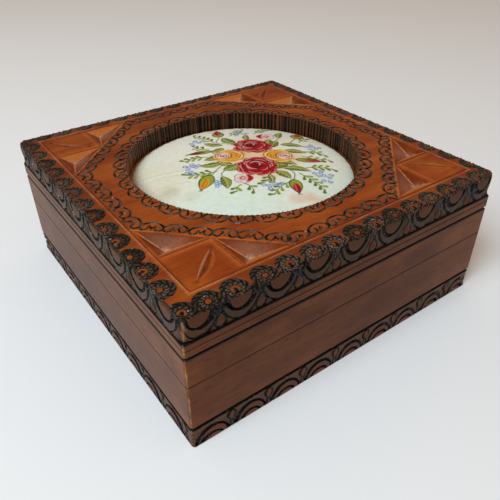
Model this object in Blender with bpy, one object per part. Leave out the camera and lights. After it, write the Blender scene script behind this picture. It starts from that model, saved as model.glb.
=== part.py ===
"""A square carved wooden casket with a lift-off lid and a round padded cloth picture in its top.

The base is a carved bottom board with four mitred walls on it. The lid is a carved top board over four mitred
walls, and it drops over a lip on the base walls. A domed cloth pad lies in a round recess of the top board.
Units are metres, +Z is up, and the origin is the middle of the underside. The front is the side at -Y.
"""

import math

import bmesh
import bpy
from mathutils import Matrix, Vector

# The case
box_side = 0.175
wall_thickness = 0.009
lid_board_thickness = 0.0125
lid_wall_height = 0.0214
base_wall_height = 0.0240
bottom_board_thickness = 0.0112
joint_gap = 0.0003

# The lip that the lid drops over
lip_thickness = 0.0042
lip_height = 0.0030
lip_clearance = 0.0004

# Edges and grooves of the case
board_corner_radius = 0.0040
board_top_round = 0.0028
wall_corner_radius = 0.0014
seam_chamfer = 0.0003
board_groove_height = 0.0010
board_groove_depth = 0.0009
band_height = 0.0062
band_line_depth = 0.0003
band_line_height = 0.0007
band_groove_height = 0.0018
band_groove_depth = 0.0014
plinth_groove_height = 0.0016
plinth_groove_depth = 0.0013

# The round recess and the cloth pad in it
recess_radius = 0.0587
recess_depth = 0.0098
pad_edge_thickness = 0.0010
pad_crown = 0.0050
pad_clearance = 0.0004

# The festoons along the edge of the lid board
festoons_per_side = 9
festoon_corner_margin = 0.0010
festoon_groove_depth = 0.0012
festoon_line_depth = 0.0008
festoon_line_width = 0.0010

# The arches along the edge of the bottom board
arches_per_side = 9
arch_corner_margin = 0.0010
arch_groove_depth = 0.0010
arch_groove_width = 0.0013

# The cup-shaped line under each small bud between two festoons, and the chip between two arches
bud_line_depth = 0.0008
bud_line_width = 0.0008
arch_chip_depth = 0.0008

# Proportions of the edge carving: across as shares of the pitch, down as shares of the board's thickness
crescent_across = 0.292
crescent_down = 0.60
crescent_swell = 0.135
crescent_end_share = 0.4
line_across = 0.425
line_down = 0.865
bud_across = 0.075
bud_from = 0.70
bud_down = 0.20
arch_sizes = ((0.405, 0.76), (0.235, 0.43))
arch_chip_across = 0.09
arch_chip_from = 0.15
arch_chip_to = 0.42

# The carving on the lid board's top
frame_line_inset = 0.0098
frame_line_width = 0.0012
frame_line_depth = 0.0006
corner_square_side = 0.0230
corner_square_gap = 0.0010
chip_length = 0.0240
chip_depth = 0.0030
chip_point_from_square = 0.0049
chip_point_from_edge = 0.0052
leaf_width = 0.0030
leaf_depth = 0.0010
leaf_from = 0.20
leaf_to = 0.87
leaf_bow = 0.04
leaf_tip_share = 0.1

# Fineness of the round shapes
corner_segments = 4
round_segments = 2
recess_segments = 48
pad_rings = 4
crescent_segments = 6
line_segments = 5
cup_segments = 3
arc_half_angle = math.radians(102)
cup_half_angle = math.radians(95)

# How far a cutter stands out of the surface that it cuts, and the smallest corner that a groove leaves
cutter_lift = 0.0004
least_radius = 0.0001

# Heights of the joints, from the underside up
base_wall_low = bottom_board_thickness + joint_gap
base_wall_top = base_wall_low + base_wall_height
lid_wall_low = base_wall_top + joint_gap
lid_wall_top = lid_wall_low + lid_wall_height
lid_board_low = lid_wall_top + joint_gap
box_top = lid_board_low + lid_board_thickness
half_side = box_side / 2


def clear_scene():
    for thing in list(bpy.data.objects):
        bpy.data.objects.remove(thing, do_unlink=True)


def material(name, colour, roughness):
    """A plain surface with the given colour, as linear red, green and blue."""
    made = bpy.data.materials.new(name)
    made.use_nodes = True
    shader = made.node_tree.nodes["Principled BSDF"]
    shader.inputs["Base Color"].default_value = (*colour, 1.0)
    shader.inputs["Roughness"].default_value = roughness
    shader.inputs["Metallic"].default_value = 0.0
    made.diffuse_color = (*colour, 1.0)
    return made


def new_object(name, shape, surface=None):
    """Turns a bmesh into a named object in the scene, with its faces pointing out."""
    bmesh.ops.recalc_face_normals(shape, faces=shape.faces[:])
    mesh = bpy.data.meshes.new(name)
    shape.to_mesh(mesh)
    shape.free()
    made = bpy.data.objects.new(name, mesh)
    bpy.context.scene.collection.objects.link(made)
    if surface is not None:
        mesh.materials.append(surface)
    return made


def as_cutter(made):
    made.hide_render = True
    made.display_type = "WIRE"
    return made


def boolean(target, cutter, operation):
    step = target.modifiers.new(cutter.name, "BOOLEAN")
    step.operation = operation
    step.solver = "EXACT"
    step.object = cutter


def loft(shape, rings, closed_ends=True):
    """Joins rings of points, each with as many points as the next, into a closed shell."""
    made = [[shape.verts.new(point) for point in ring] for ring in rings]
    count = len(made[0])
    for low, high in zip(made, made[1:]):
        for i in range(count):
            j = (i + 1) % count
            shape.faces.new((low[i], low[j], high[j], high[i]))
    if closed_ends:
        shape.faces.new(list(reversed(made[0])))
        shape.faces.new(made[-1])
    else:
        for i in range(count):
            j = (i + 1) % count
            shape.faces.new((made[-1][i], made[-1][j], made[0][j], made[0][i]))


def rounded_square(half, radius, height):
    """The points of a level square with round corners, counter-clockwise."""
    points = []
    for quarter in range(4):
        start = quarter * math.pi / 2
        middle = Matrix.Rotation(start, 3, "Z") @ Vector((half - radius, half - radius, height))
        for step in range(corner_segments + 1):
            angle = start + step / corner_segments * math.pi / 2
            points.append(middle + Vector((math.cos(angle), math.sin(angle), 0)) * radius)
    return points


def corner_trim(name, radius):
    """What is left outside the round corners over the whole height: it trims the walls' outer corners."""
    shape = bmesh.new()
    beyond = half_side + radius
    middle = half_side - radius
    section = [(beyond, middle), (beyond, beyond), (middle, beyond)]
    for step in range(corner_segments + 1):
        angle = math.pi / 2 * (1 - step / corner_segments)
        section.append((middle + radius * math.cos(angle), middle + radius * math.sin(angle)))
    for quarter in range(4):
        turn = Matrix.Rotation(quarter * math.pi / 2, 3, "Z")
        loft(shape, [[turn @ Vector((x, y, z)) for x, y in section] for z in (0, box_top)])
    return as_cutter(new_object(name, shape))


# Carving. A pattern is drawn on a flat face in two coordinates, and a face turns them into places in space.


def side_face(quarter, top):
    """The outer face of the box on one of its four sides: across, down from top, and out of the face."""
    turn = Matrix.Rotation(quarter * math.pi / 2, 3, "Z")

    def place(across, down, out):
        return turn @ Vector((across, -half_side - out, top - down))

    return place


def top_face(across, along, out):
    return Vector((across, along, box_top + out))


def groove(shape, place, path, widths, depths):
    """Adds a cutter for a V groove along a path: its width is measured at the surface, its depth at the middle."""
    sections = []
    last = len(path) - 1
    for i, here in enumerate(path):
        before = path[max(i - 1, 0)]
        after = path[min(i + 1, last)]
        along = (Vector(after) - Vector(before)).normalized()
        across = Vector((-along.y, along.x))
        reach = widths[i] / 2 * (1 + cutter_lift / depths[i])
        left = Vector(here) + across * reach
        right = Vector(here) - across * reach
        sections.append([place(left.x, left.y, cutter_lift), place(here[0], here[1], -depths[i]),
                         place(right.x, right.y, cutter_lift)])
    loft(shape, sections)


def chip(shape, outline, bottom):
    """Adds a cutter for a three-sided chip: a pyramid with its tip at bottom, through the outline's points."""
    normal = (outline[1] - outline[0]).cross(outline[2] - outline[0]).normalized()
    depth = abs(normal.dot(outline[0] - bottom))
    grown = 1 + cutter_lift / depth
    tip = shape.verts.new(bottom)
    high = [shape.verts.new(bottom + (point - bottom) * grown) for point in outline]
    shape.faces.new(high)
    for i in range(len(high)):
        shape.faces.new((high[(i + 1) % len(high)], high[i], tip))


def hanging_arc(centre, across, down, segments, half_angle):
    """Points from left to right along an ellipse, to half_angle on each side of its lowest point."""
    points = []
    for step in range(segments + 1):
        angle = math.pi / 2 + half_angle * (1 - 2 * step / segments)
        points.append((centre[0] + across * math.cos(angle), centre[1] + down * math.sin(angle)))
    return points


def repeat_centres(count, margin):
    pitch = (box_side - 2 * margin) / count
    return pitch, [(i + 0.5) * pitch - half_side + margin for i in range(count)]


def even(value, points):
    return [value] * len(points)


def festoon_cutters(shape, place):
    """One side's row of hanging half discs, each with a thick dark crescent, a ridge and a thin line round it."""
    pitch, centres = repeat_centres(festoons_per_side, festoon_corner_margin)
    height = lid_board_thickness
    for centre in centres:
        crescent = hanging_arc((centre, 0), crescent_across * pitch, crescent_down * height, crescent_segments,
                               arc_half_angle)
        widths = []
        for i in range(crescent_segments + 1):
            fullness = math.sin(math.pi * i / crescent_segments) ** 2
            widths.append(crescent_swell * height * (crescent_end_share + (1 - crescent_end_share) * fullness))
        groove(shape, place, crescent, widths, even(festoon_groove_depth, crescent))
        line = hanging_arc((centre, 0), line_across * pitch, line_down * height, line_segments, arc_half_angle)
        groove(shape, place, line, even(festoon_line_width, line), even(festoon_line_depth, line))
    for left, right in zip(centres, centres[1:]):
        cup = hanging_arc(((left + right) / 2, bud_from * height), bud_across * pitch, bud_down * height,
                          cup_segments, cup_half_angle)
        groove(shape, place, cup, even(bud_line_width, cup), even(bud_line_depth, cup))


def arch_cutters(shape, place):
    """One side's row of standing arches, each a double arc round a half disc on the lower edge."""
    pitch, centres = repeat_centres(arches_per_side, arch_corner_margin)
    height = bottom_board_thickness
    for centre in centres:
        for across, down in arch_sizes:
            arc = hanging_arc((centre, height), across * pitch, -down * height, line_segments, arc_half_angle)
            groove(shape, place, arc, even(arch_groove_width, arc), even(arch_groove_depth, arc))
    for left, right in zip(centres, centres[1:]):
        middle = (left + right) / 2
        high = arch_chip_from * height
        low = arch_chip_to * height
        across = arch_chip_across * pitch
        outline = [place(middle - across, high, 0), place(middle + across, high, 0), place(middle, low, 0)]
        chip(shape, outline, place(middle, (2 * high + low) / 3, -arch_chip_depth))


def corner_cutters(shape, quarter):
    """One corner of the top: a plain square with a leaf cut on its diagonal and a long chip on two of its sides."""
    turn = Matrix.Rotation(quarter * math.pi / 2, 2)
    outer = half_side - frame_line_inset - frame_line_width
    inner = outer - corner_square_side
    edge = inner - corner_square_gap

    def turned(x, y):
        return tuple(turn @ Vector((x, y)))

    def on_top(x, y, out=0):
        return top_face(*turned(x, y), out)

    tip = edge - chip_length
    near = edge - chip_point_from_square
    side = outer - chip_point_from_edge
    chip(shape, [on_top(outer, tip), on_top(outer, edge), on_top(inner, edge)], on_top(side, near, -chip_depth))
    chip(shape, [on_top(tip, outer), on_top(edge, inner), on_top(edge, outer)], on_top(near, side, -chip_depth))
    path = []
    widths = []
    depths = []
    for i in range(crescent_segments + 1):
        share = i / crescent_segments
        along = leaf_from + (leaf_to - leaf_from) * share
        bow = leaf_bow * math.sin(math.pi * share)
        x = inner + corner_square_side * (along - bow)
        y = inner + corner_square_side * (along + bow)
        path.append(turned(x, y))
        fullness = max(math.sin(math.pi * share), leaf_tip_share)
        widths.append(leaf_width * fullness)
        depths.append(leaf_depth * fullness)
    groove(shape, top_face, path, widths, depths)


def frame_line_cutter(shape):
    """The line that runs round the top, a little way in from its edge."""
    reach = half_side - frame_line_inset
    spread = frame_line_width / 2 * (1 + cutter_lift / frame_line_depth)
    rings = []
    for quarter in range(4):
        turn = Matrix.Rotation(quarter * math.pi / 2, 3, "Z")
        profile = ((reach + spread, cutter_lift), (reach, -frame_line_depth), (reach - spread, cutter_lift))
        rings.append([turn @ top_face(inset, inset, out) for inset, out in profile])
    loft(shape, rings, closed_ends=False)


# The pieces


def board(name, levels, corner_radius, surface):
    """A square board with round corners, stacked from levels of inset from the outside and height."""
    shape = bmesh.new()
    loft(shape, [rounded_square(half_side - inset, max(corner_radius - inset, least_radius), height)
                 for inset, height in levels])
    return new_object(name, shape, surface)


def wall(name, quarter, profile, surface, trim):
    """A mitred wall: profile gives depth in from the outer face and height, and both ends are cut at 45 degrees."""
    turn = Matrix.Rotation(quarter * math.pi / 2, 3, "Z")
    mitre_gap = joint_gap / math.sqrt(2)
    ends = []
    for side in (-1, 1):
        ends.append([turn @ Vector((side * (half_side - depth - mitre_gap), depth - half_side, height))
                     for depth, height in profile])
    shape = bmesh.new()
    loft(shape, ends)
    made = new_object(name, shape, surface)
    boolean(made, trim, "DIFFERENCE")
    return made


def lid_wall_profile():
    """The moulded band and the V groove under it on the outside, and the rebate for the lip on the inside."""
    low = lid_wall_low
    high = lid_wall_top
    band_low = high - band_height
    band_middle = high - band_height / 2
    vee_middle = band_low - band_groove_height / 2
    rebate_depth = wall_thickness - lip_thickness - lip_clearance
    rebate_height = lip_height + lip_clearance
    return [
        (board_groove_depth, high),
        (wall_thickness, high),
        (wall_thickness, low + rebate_height),
        (rebate_depth, low + rebate_height),
        (rebate_depth, low),
        (seam_chamfer, low),
        (0, low + seam_chamfer),
        (0, band_low - band_groove_height),
        (band_groove_depth, vee_middle),
        (0, band_low),
        (0, band_middle - band_line_height / 2),
        (band_line_depth, band_middle),
        (0, band_middle + band_line_height / 2),
        (0, high - board_groove_height),
    ]


def base_wall_profile():
    """A plain outside with the plinth groove at its foot, and the lip that stands up inside the lid."""
    low = base_wall_low
    high = base_wall_top
    lip_at = wall_thickness - lip_thickness
    return [
        (seam_chamfer, high),
        (lip_at, high),
        (lip_at, high + lip_height),
        (wall_thickness, high + lip_height),
        (wall_thickness, low),
        (plinth_groove_depth, low),
        (0, low + plinth_groove_height / 2),
        (0, high - seam_chamfer),
    ]


def make_lid_board(surface):
    levels = [(board_groove_depth, lid_board_low), (0, lid_board_low + board_groove_height)]
    for step in range(round_segments + 1):
        angle = step / round_segments * math.pi / 2
        levels.append((board_top_round * (1 - math.cos(angle)), box_top - board_top_round * (1 - math.sin(angle))))
    made = board("lid_board", levels, board_corner_radius, surface)
    recess = bmesh.new()
    bmesh.ops.create_cone(recess, cap_ends=True, segments=recess_segments, radius1=recess_radius,
                          radius2=recess_radius, depth=2 * recess_depth,
                          matrix=Matrix.Translation((0, 0, box_top)))
    boolean(made, as_cutter(new_object("recess_cutter", recess)), "DIFFERENCE")
    edges = bmesh.new()
    for quarter in range(4):
        festoon_cutters(edges, side_face(quarter, box_top))
    boolean(made, as_cutter(new_object("festoon_cutter", edges)), "DIFFERENCE")
    line = bmesh.new()
    frame_line_cutter(line)
    boolean(made, as_cutter(new_object("frame_line_cutter", line)), "DIFFERENCE")
    corners = bmesh.new()
    for quarter in range(4):
        corner_cutters(corners, quarter)
    boolean(made, as_cutter(new_object("corner_cutter", corners)), "DIFFERENCE")
    return made


def make_bottom_board(surface):
    levels = [(0, 0), (0, bottom_board_thickness - plinth_groove_height / 2),
              (plinth_groove_depth, bottom_board_thickness)]
    made = board("bottom_board", levels, wall_corner_radius, surface)
    edges = bmesh.new()
    for quarter in range(4):
        arch_cutters(edges, side_face(quarter, bottom_board_thickness))
    boolean(made, as_cutter(new_object("arch_cutter", edges)), "DIFFERENCE")
    return made


def make_cloth_pad(surface):
    """A turned pad: a low straight edge, then a dome that is highest in the middle."""
    radius = recess_radius - pad_clearance
    low = box_top - recess_depth + joint_gap
    rings = []
    levels = [(radius, low)]
    for step in range(pad_rings):
        share = step / pad_rings
        levels.append((radius * (1 - share), low + pad_edge_thickness + pad_crown * (1 - (1 - share) ** 2)))
    for reach, height in levels:
        rings.append([Vector((reach * math.cos(a), reach * math.sin(a), height))
                      for a in [2 * math.pi * i / recess_segments for i in range(recess_segments)]])
    shape = bmesh.new()
    loft(shape, rings)
    made = new_object("cloth_pad", shape, surface)
    made.data.shade_smooth()
    made.data.set_sharp_from_angle(angle=math.radians(40))
    return made


def main():
    clear_scene()
    carved_wood = material("carved_wood", (0.33, 0.085, 0.022), 0.38)
    wall_wood = material("wall_wood", (0.16, 0.055, 0.026), 0.42)
    cloth = material("printed_cloth", (0.76, 0.76, 0.68), 0.85)
    make_lid_board(carved_wood)
    make_cloth_pad(cloth)
    trim = corner_trim("corner_trim", wall_corner_radius)
    for quarter, side in enumerate(("front", "right", "back", "left")):
        wall("lid_wall_" + side, quarter, lid_wall_profile(), wall_wood, trim)
        wall("base_wall_" + side, quarter, base_wall_profile(), wall_wood, trim)
    make_bottom_board(carved_wood)


main()
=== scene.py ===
"""The finish of a carved linden casket: scorched and lacquered wood, with a printed cloth picture in its lid.

Each section makes one piece or one group of like pieces, in the order in which the box is put together.
Drawings are in millimetres, and mm turns them into the frame's metres.
"""

import math

import bpy
import numpy as np
from mathutils import Euler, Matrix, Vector
from mathutils.geometry import delaunay_2d_cdt


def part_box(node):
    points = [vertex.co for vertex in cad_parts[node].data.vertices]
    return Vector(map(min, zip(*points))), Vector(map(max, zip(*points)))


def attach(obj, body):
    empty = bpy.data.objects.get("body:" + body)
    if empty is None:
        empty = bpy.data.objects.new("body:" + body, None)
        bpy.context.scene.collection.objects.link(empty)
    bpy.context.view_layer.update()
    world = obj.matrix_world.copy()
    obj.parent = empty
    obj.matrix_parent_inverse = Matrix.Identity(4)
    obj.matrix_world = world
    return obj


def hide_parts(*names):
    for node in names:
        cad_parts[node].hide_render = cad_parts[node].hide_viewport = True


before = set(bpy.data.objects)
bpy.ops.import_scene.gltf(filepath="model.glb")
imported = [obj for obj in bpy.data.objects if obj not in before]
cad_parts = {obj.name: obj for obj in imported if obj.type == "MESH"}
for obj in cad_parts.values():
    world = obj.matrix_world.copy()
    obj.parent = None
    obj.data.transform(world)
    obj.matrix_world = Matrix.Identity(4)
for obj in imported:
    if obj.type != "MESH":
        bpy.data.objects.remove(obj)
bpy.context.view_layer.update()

# The bottom board
#
# A square board of linden, glued under the walls. A row of double arches is pressed and cut into its edge.
# Their grooves are scorched, and the board is stained red-brown and lacquered.

mm = 0.001
half_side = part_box("lid_board")[1].x / mm
whole_turn = 2 * math.pi


def linear(hex_colour):
    """An sRGB hex colour as the linear red, green, blue and alpha of a shader."""
    channels = [int(hex_colour[i:i + 2], 16) / 255 for i in (1, 3, 5)]
    return (*[c / 12.92 if c <= 0.04045 else ((c + 0.055) / 1.055) ** 2.4 for c in channels], 1.0)


def node(tree, kind, sockets=None, **settings):
    """Adds a node with its settings, and fills its sockets with values or with links from other nodes.

    A Mix node's sockets go by number: 0 is the share, 6 and 7 are its colours, and 2 and 3 its plain values.
    """
    made = tree.nodes.new("ShaderNode" + kind)
    for name, value in settings.items():
        setattr(made, name, value)
    for socket, value in (sockets or {}).items():
        if isinstance(value, bpy.types.NodeSocket):
            tree.links.new(value, made.inputs[socket])
        else:
            made.inputs[socket].default_value = value
    return made


def noise(tree, place, size, detail, distortion=0.0):
    """A cloudy pattern from 0 to 1, with spots about a size across."""
    return node(tree, "TexNoise", {"Vector": place, "Scale": 1 / size, "Detail": detail,
                                   "Distortion": distortion}).outputs["Fac"]


def ramp(tree, value, low, high, start=0.0, end=1.0):
    """A value's range from low to high, spread from start to end and held beyond them."""
    return node(tree, "MapRange", {"Value": value, "From Min": low, "From Max": high,
                                   "To Min": start, "To Max": end}).outputs["Result"]


def blend(tree, share, base, other, blend_type="MIX"):
    """One colour laid over another by a share."""
    return node(tree, "Mix", {0: share, 6: base, 7: other}, data_type="RGBA",
                blend_type=blend_type).outputs[2]


def between(tree, share, base, other):
    """A value that goes from one to another with a share."""
    return node(tree, "Mix", {0: share, 2: base, 3: other}, data_type="FLOAT").outputs[0]


def new_material(name):
    """A new material, with its node tree and its shader."""
    made = bpy.data.materials.new(name)
    made.use_nodes = True
    return made, made.node_tree, made.node_tree.nodes["Principled BSDF"]


def stained_linden(name, grain_axis, colours, lacquer):
    """Linden, stained and lacquered: a fine even wood whose faint fibres and short pores the stain picks out.

    Real fibres and pores are thinner than a pixel, so they are drawn a few times as coarse. The satin lacquer
    is a thin clear coat, which sinks into the charred wood and stands on it in small pools. The finish layer
    of a piece says where it is scorched (red), rubbed pale and painted with highlights (green), stained
    darker and painted with shade (blue), and dusty and painted with sheen (alpha).
    """
    made, tree, shader = new_material(name)
    fibre_width = 0.5 * mm
    fibre_length = 9 * mm
    pore_width = 0.35 * mm
    figure_width = 7 * mm
    blotch_size = 24 * mm
    char_grain = 0.9 * mm
    mote_size = 0.6 * mm
    fibre_height = 0.06 * mm
    place = node(tree, "TexCoord").outputs["Object"]
    stretch = [1.0, 1.0, 1.0]
    stretch[grain_axis] = fibre_width / fibre_length
    along = node(tree, "Mapping", {"Vector": place, "Scale": stretch}).outputs["Vector"]
    fibre = noise(tree, along, fibre_width, 2.0)
    pore = noise(tree, along, pore_width, 0.0)
    figure = noise(tree, along, figure_width, 3.0, 0.6)
    blotch = noise(tree, place, blotch_size, 2.0)
    grit = noise(tree, place, char_grain, 3.0)
    motes = noise(tree, place, mote_size, 2.0)
    finish = node(tree, "VertexColor", layer_name="finish").outputs
    parts = node(tree, "SeparateColor", {"Color": finish["Color"]}).outputs

    # The stain: a light tone, and darker ones that multiply it where each pattern is strong. The last, from
    # the finish's blue layer, is a darker stain and painted shade.
    inks = {word: linear(ink) for word, ink in colours.items()}
    colour = blend(tree, ramp(tree, figure, 0.36, 0.64), inks["light"], inks["dark"])
    for word, pattern, low, high in (("blotch", blotch, 0.38, 0.66), ("fibre", fibre, 0.3, 0.7),
                                     ("pore", pore, 0.66, 0.74), ("deep", parts["Blue"], 0.0, 1.0)):
        colour = blend(tree, ramp(tree, pattern, low, high), colour, inks[word], "MULTIPLY")

    # Wear and painted highlights, scorching, and dust and painted sheen lie over the stain, each with an
    # uneven border.
    uneven = node(tree, "Math", {0: grit, 1: 0.5}, operation="SUBTRACT").outputs[0]
    tone_shift = node(tree, "Math", {0: uneven, 1: 0.45, 2: parts["Green"]}, operation="MULTIPLY_ADD").outputs[0]
    wear_and_highlight = ramp(tree, tone_shift, 0.1, 0.95)
    burn = node(tree, "Math", {0: uneven, 1: 0.35, 2: parts["Red"]}, operation="MULTIPLY_ADD").outputs[0]
    seared = ramp(tree, burn, 0.08, 0.5)
    char = ramp(tree, burn, 0.5, 0.9)
    motes = ramp(tree, motes, 0.3, 0.75, 0.35)
    dust_and_sheen_share = node(tree, "Math", {0: finish["Alpha"], 1: motes}, operation="MULTIPLY").outputs[0]
    for word, share in (("wear_and_highlight", wear_and_highlight), ("seared", seared), ("char", char), ("dust_and_sheen", dust_and_sheen_share)):
        colour = blend(tree, share, colour, inks[word])
    tree.links.new(colour, shader.inputs["Base Color"])

    gloss = between(tree, char, ramp(tree, fibre, 0, 1, 0.42, 0.58), 0.36)
    tree.links.new(gloss, shader.inputs["Roughness"])
    bump = node(tree, "Bump", {"Height": between(tree, char, fibre, grit), "Strength": 0.5,
                               "Distance": fibre_height})
    tree.links.new(bump.outputs["Normal"], shader.inputs["Normal"])
    pools = ramp(tree, grit, 0.56, 0.66, 0.04, 0.9)
    tree.links.new(between(tree, char, lacquer, pools), shader.inputs["Coat Weight"])
    shader.inputs["Coat Roughness"].default_value = 0.13
    shader.inputs["Specular IOR Level"].default_value = 0.09
    return made


board_colours = {
    "light": "#AC561A", "dark": "#8E4212", "blotch": "#DCC0AC", "fibre": "#ECDED2", "pore": "#DACABE",
    "deep": "#8C8272", "wear_and_highlight": "#C87838", "seared": "#4E3520", "char": "#0B0704", "dust_and_sheen": "#C4AA94",
}
carved_linden = stained_linden("carved_linden", 0, board_colours, 0.1)


def turned(drawn, quarters):
    """Places turned round the middle by quarters of a turn."""
    drawn = np.atleast_2d(np.asarray(drawn, float))
    for _ in range(quarters % 4):
        drawn = np.column_stack((-drawn[:, 1], drawn[:, 0]))
    return drawn


class Net:
    """The skin of a square board laid out flat: ring after square ring, from its top over its edge.

    Each row of the section gives the inset from the outside, the height, and how far the surface leans over,
    in degrees from level. A drawing on a side is measured down from edge, the ring where that side, taken
    straight up, meets the board's top.
    """

    def __init__(self, section, corner_radius):
        inset, height, lean = np.array(section, float).T
        steps = np.hypot(np.diff(inset), np.diff(height))
        self.reach = half_side - inset[0] + np.concatenate(([0], np.cumsum(steps)))
        self.inset = inset
        self.height = height
        self.lean = np.radians(lean)
        self.corner_radius = corner_radius
        upright = int(np.argmax(lean >= 90))
        self.edge = self.reach[upright] - (height[0] - height[upright])

    def place(self, side, drawing):
        """Places on the net for a drawing on one side: across to the right, and down from the edge."""
        drawing = np.atleast_2d(np.asarray(drawing, float))
        reach = self.edge + drawing[:, 1]
        across = drawing[:, 0] * reach / (half_side - np.interp(reach, self.reach, self.inset))
        return turned(np.column_stack((across, -reach)), side)

    def drawing(self, side, points):
        """Places of the net as places in the drawing for one side."""
        x, y = turned(points, -side).T
        half = half_side - np.interp(-y, self.reach, self.inset)
        return np.column_stack((x * half / -y, -y - self.edge))

    def side_area(self, side):
        """The corners of the part of the net that holds one side's drawing."""
        bounds = self.place(side, [(-half_side, 0), (half_side, self.reach[-1] - self.edge)])
        return bounds.min(0) - 0.1, bounds.max(0) + 0.1

    def fold(self, points, depth):
        """Folds points of the net over the board, pushed in by depth, in metres."""
        reach = np.abs(points).max(1)
        rows = (self.inset, self.height, self.lean)
        inset, height, lean = (np.interp(reach, self.reach, row) for row in rows)
        wide = np.abs(points[:, 1]) >= np.abs(points[:, 0])
        along = np.where(wide, points[:, 0], points[:, 1]) * (half_side - inset) / np.maximum(reach, 1e-6)
        facing = np.sign(np.where(wide, points[:, 1], points[:, 0]))
        radius = np.maximum(self.corner_radius - inset, 0.01)
        along, out, turn = round_corner(along, half_side - inset, radius)
        along = along - depth * np.sin(lean) * np.sin(turn)
        out = (out - depth * np.sin(lean) * np.cos(turn)) * facing
        height = height - depth * np.cos(lean)
        return np.column_stack((np.where(wide, along, out), np.where(wide, out, along), height)) * mm


def round_corner(along, half, radius):
    """Bends the ends of a square's side round its corners: places along it, how far out, and their turn."""
    share = np.clip((np.abs(along) - half + radius) / radius, 0, 1)
    turn = share * math.pi / 4
    bent = np.where(share > 0, half - radius + radius * np.sin(turn), np.abs(along))
    return bent * np.sign(along), half - radius + radius * np.cos(turn), turn * np.sign(along)


class Field:
    """What a carving has done at each of some points: how deep it is cut, and its finish."""

    def __init__(self, count):
        self.depth = np.zeros(count)
        self.scorch = np.zeros(count)
        self.wear_and_highlight = np.zeros(count)
        self.deep = np.zeros(count)
        self.dust_and_sheen = np.zeros(count)

    def raise_to(self, layer, index, amount):
        """Raises a layer at some points to an amount, where it is lower."""
        values = getattr(self, layer)
        values[index] = np.maximum(values[index], amount)

    def finish(self):
        """The four layers of the finish, as the red, green, blue and alpha of a paint."""
        return np.column_stack((self.scorch, self.wear_and_highlight, self.deep, self.dust_and_sheen))


def near_path(points, path):
    """For each point, its distance to a path, and where that is along it, counted in the path's points."""
    start = path[:-1]
    step = path[1:] - start
    span = np.maximum((step ** 2).sum(1), 1e-9)
    offset = points[:, None] - start
    share = np.clip((offset * step).sum(2) / span, 0, 1)
    away = np.linalg.norm(offset - share[..., None] * step, axis=2)
    nearest = away.argmin(1)
    rows = np.arange(len(points))
    return away[rows, nearest], nearest + share[rows, nearest]


def smooth_path(points, step):
    """A smooth curve through a few points, as points about a step apart."""
    points = np.asarray(points, float)
    padded = np.vstack((2 * points[0] - points[1], points, 2 * points[-1] - points[-2]))
    made = []
    for before, start, end, after in zip(padded, padded[1:], padded[2:], padded[3:]):
        count = max(1, round(float(np.linalg.norm(end - start)) / step))
        share = (np.arange(count) / count)[:, None]
        bend = 2 * before - 5 * start + 4 * end - after
        twist = 3 * start - before - 3 * end + after
        made.append(0.5 * (2 * start + (end - before) * share + bend * share ** 2 + twist * share ** 3))
    made.append(points[-1:])
    return np.vstack(made)


def fade(values, full, gone):
    """1 at full, 0 at gone and smooth in between, whichever of the two is larger."""
    share = np.clip((values - gone) / (full - gone), 0, 1)
    return share * share * (3 - 2 * share)


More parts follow.
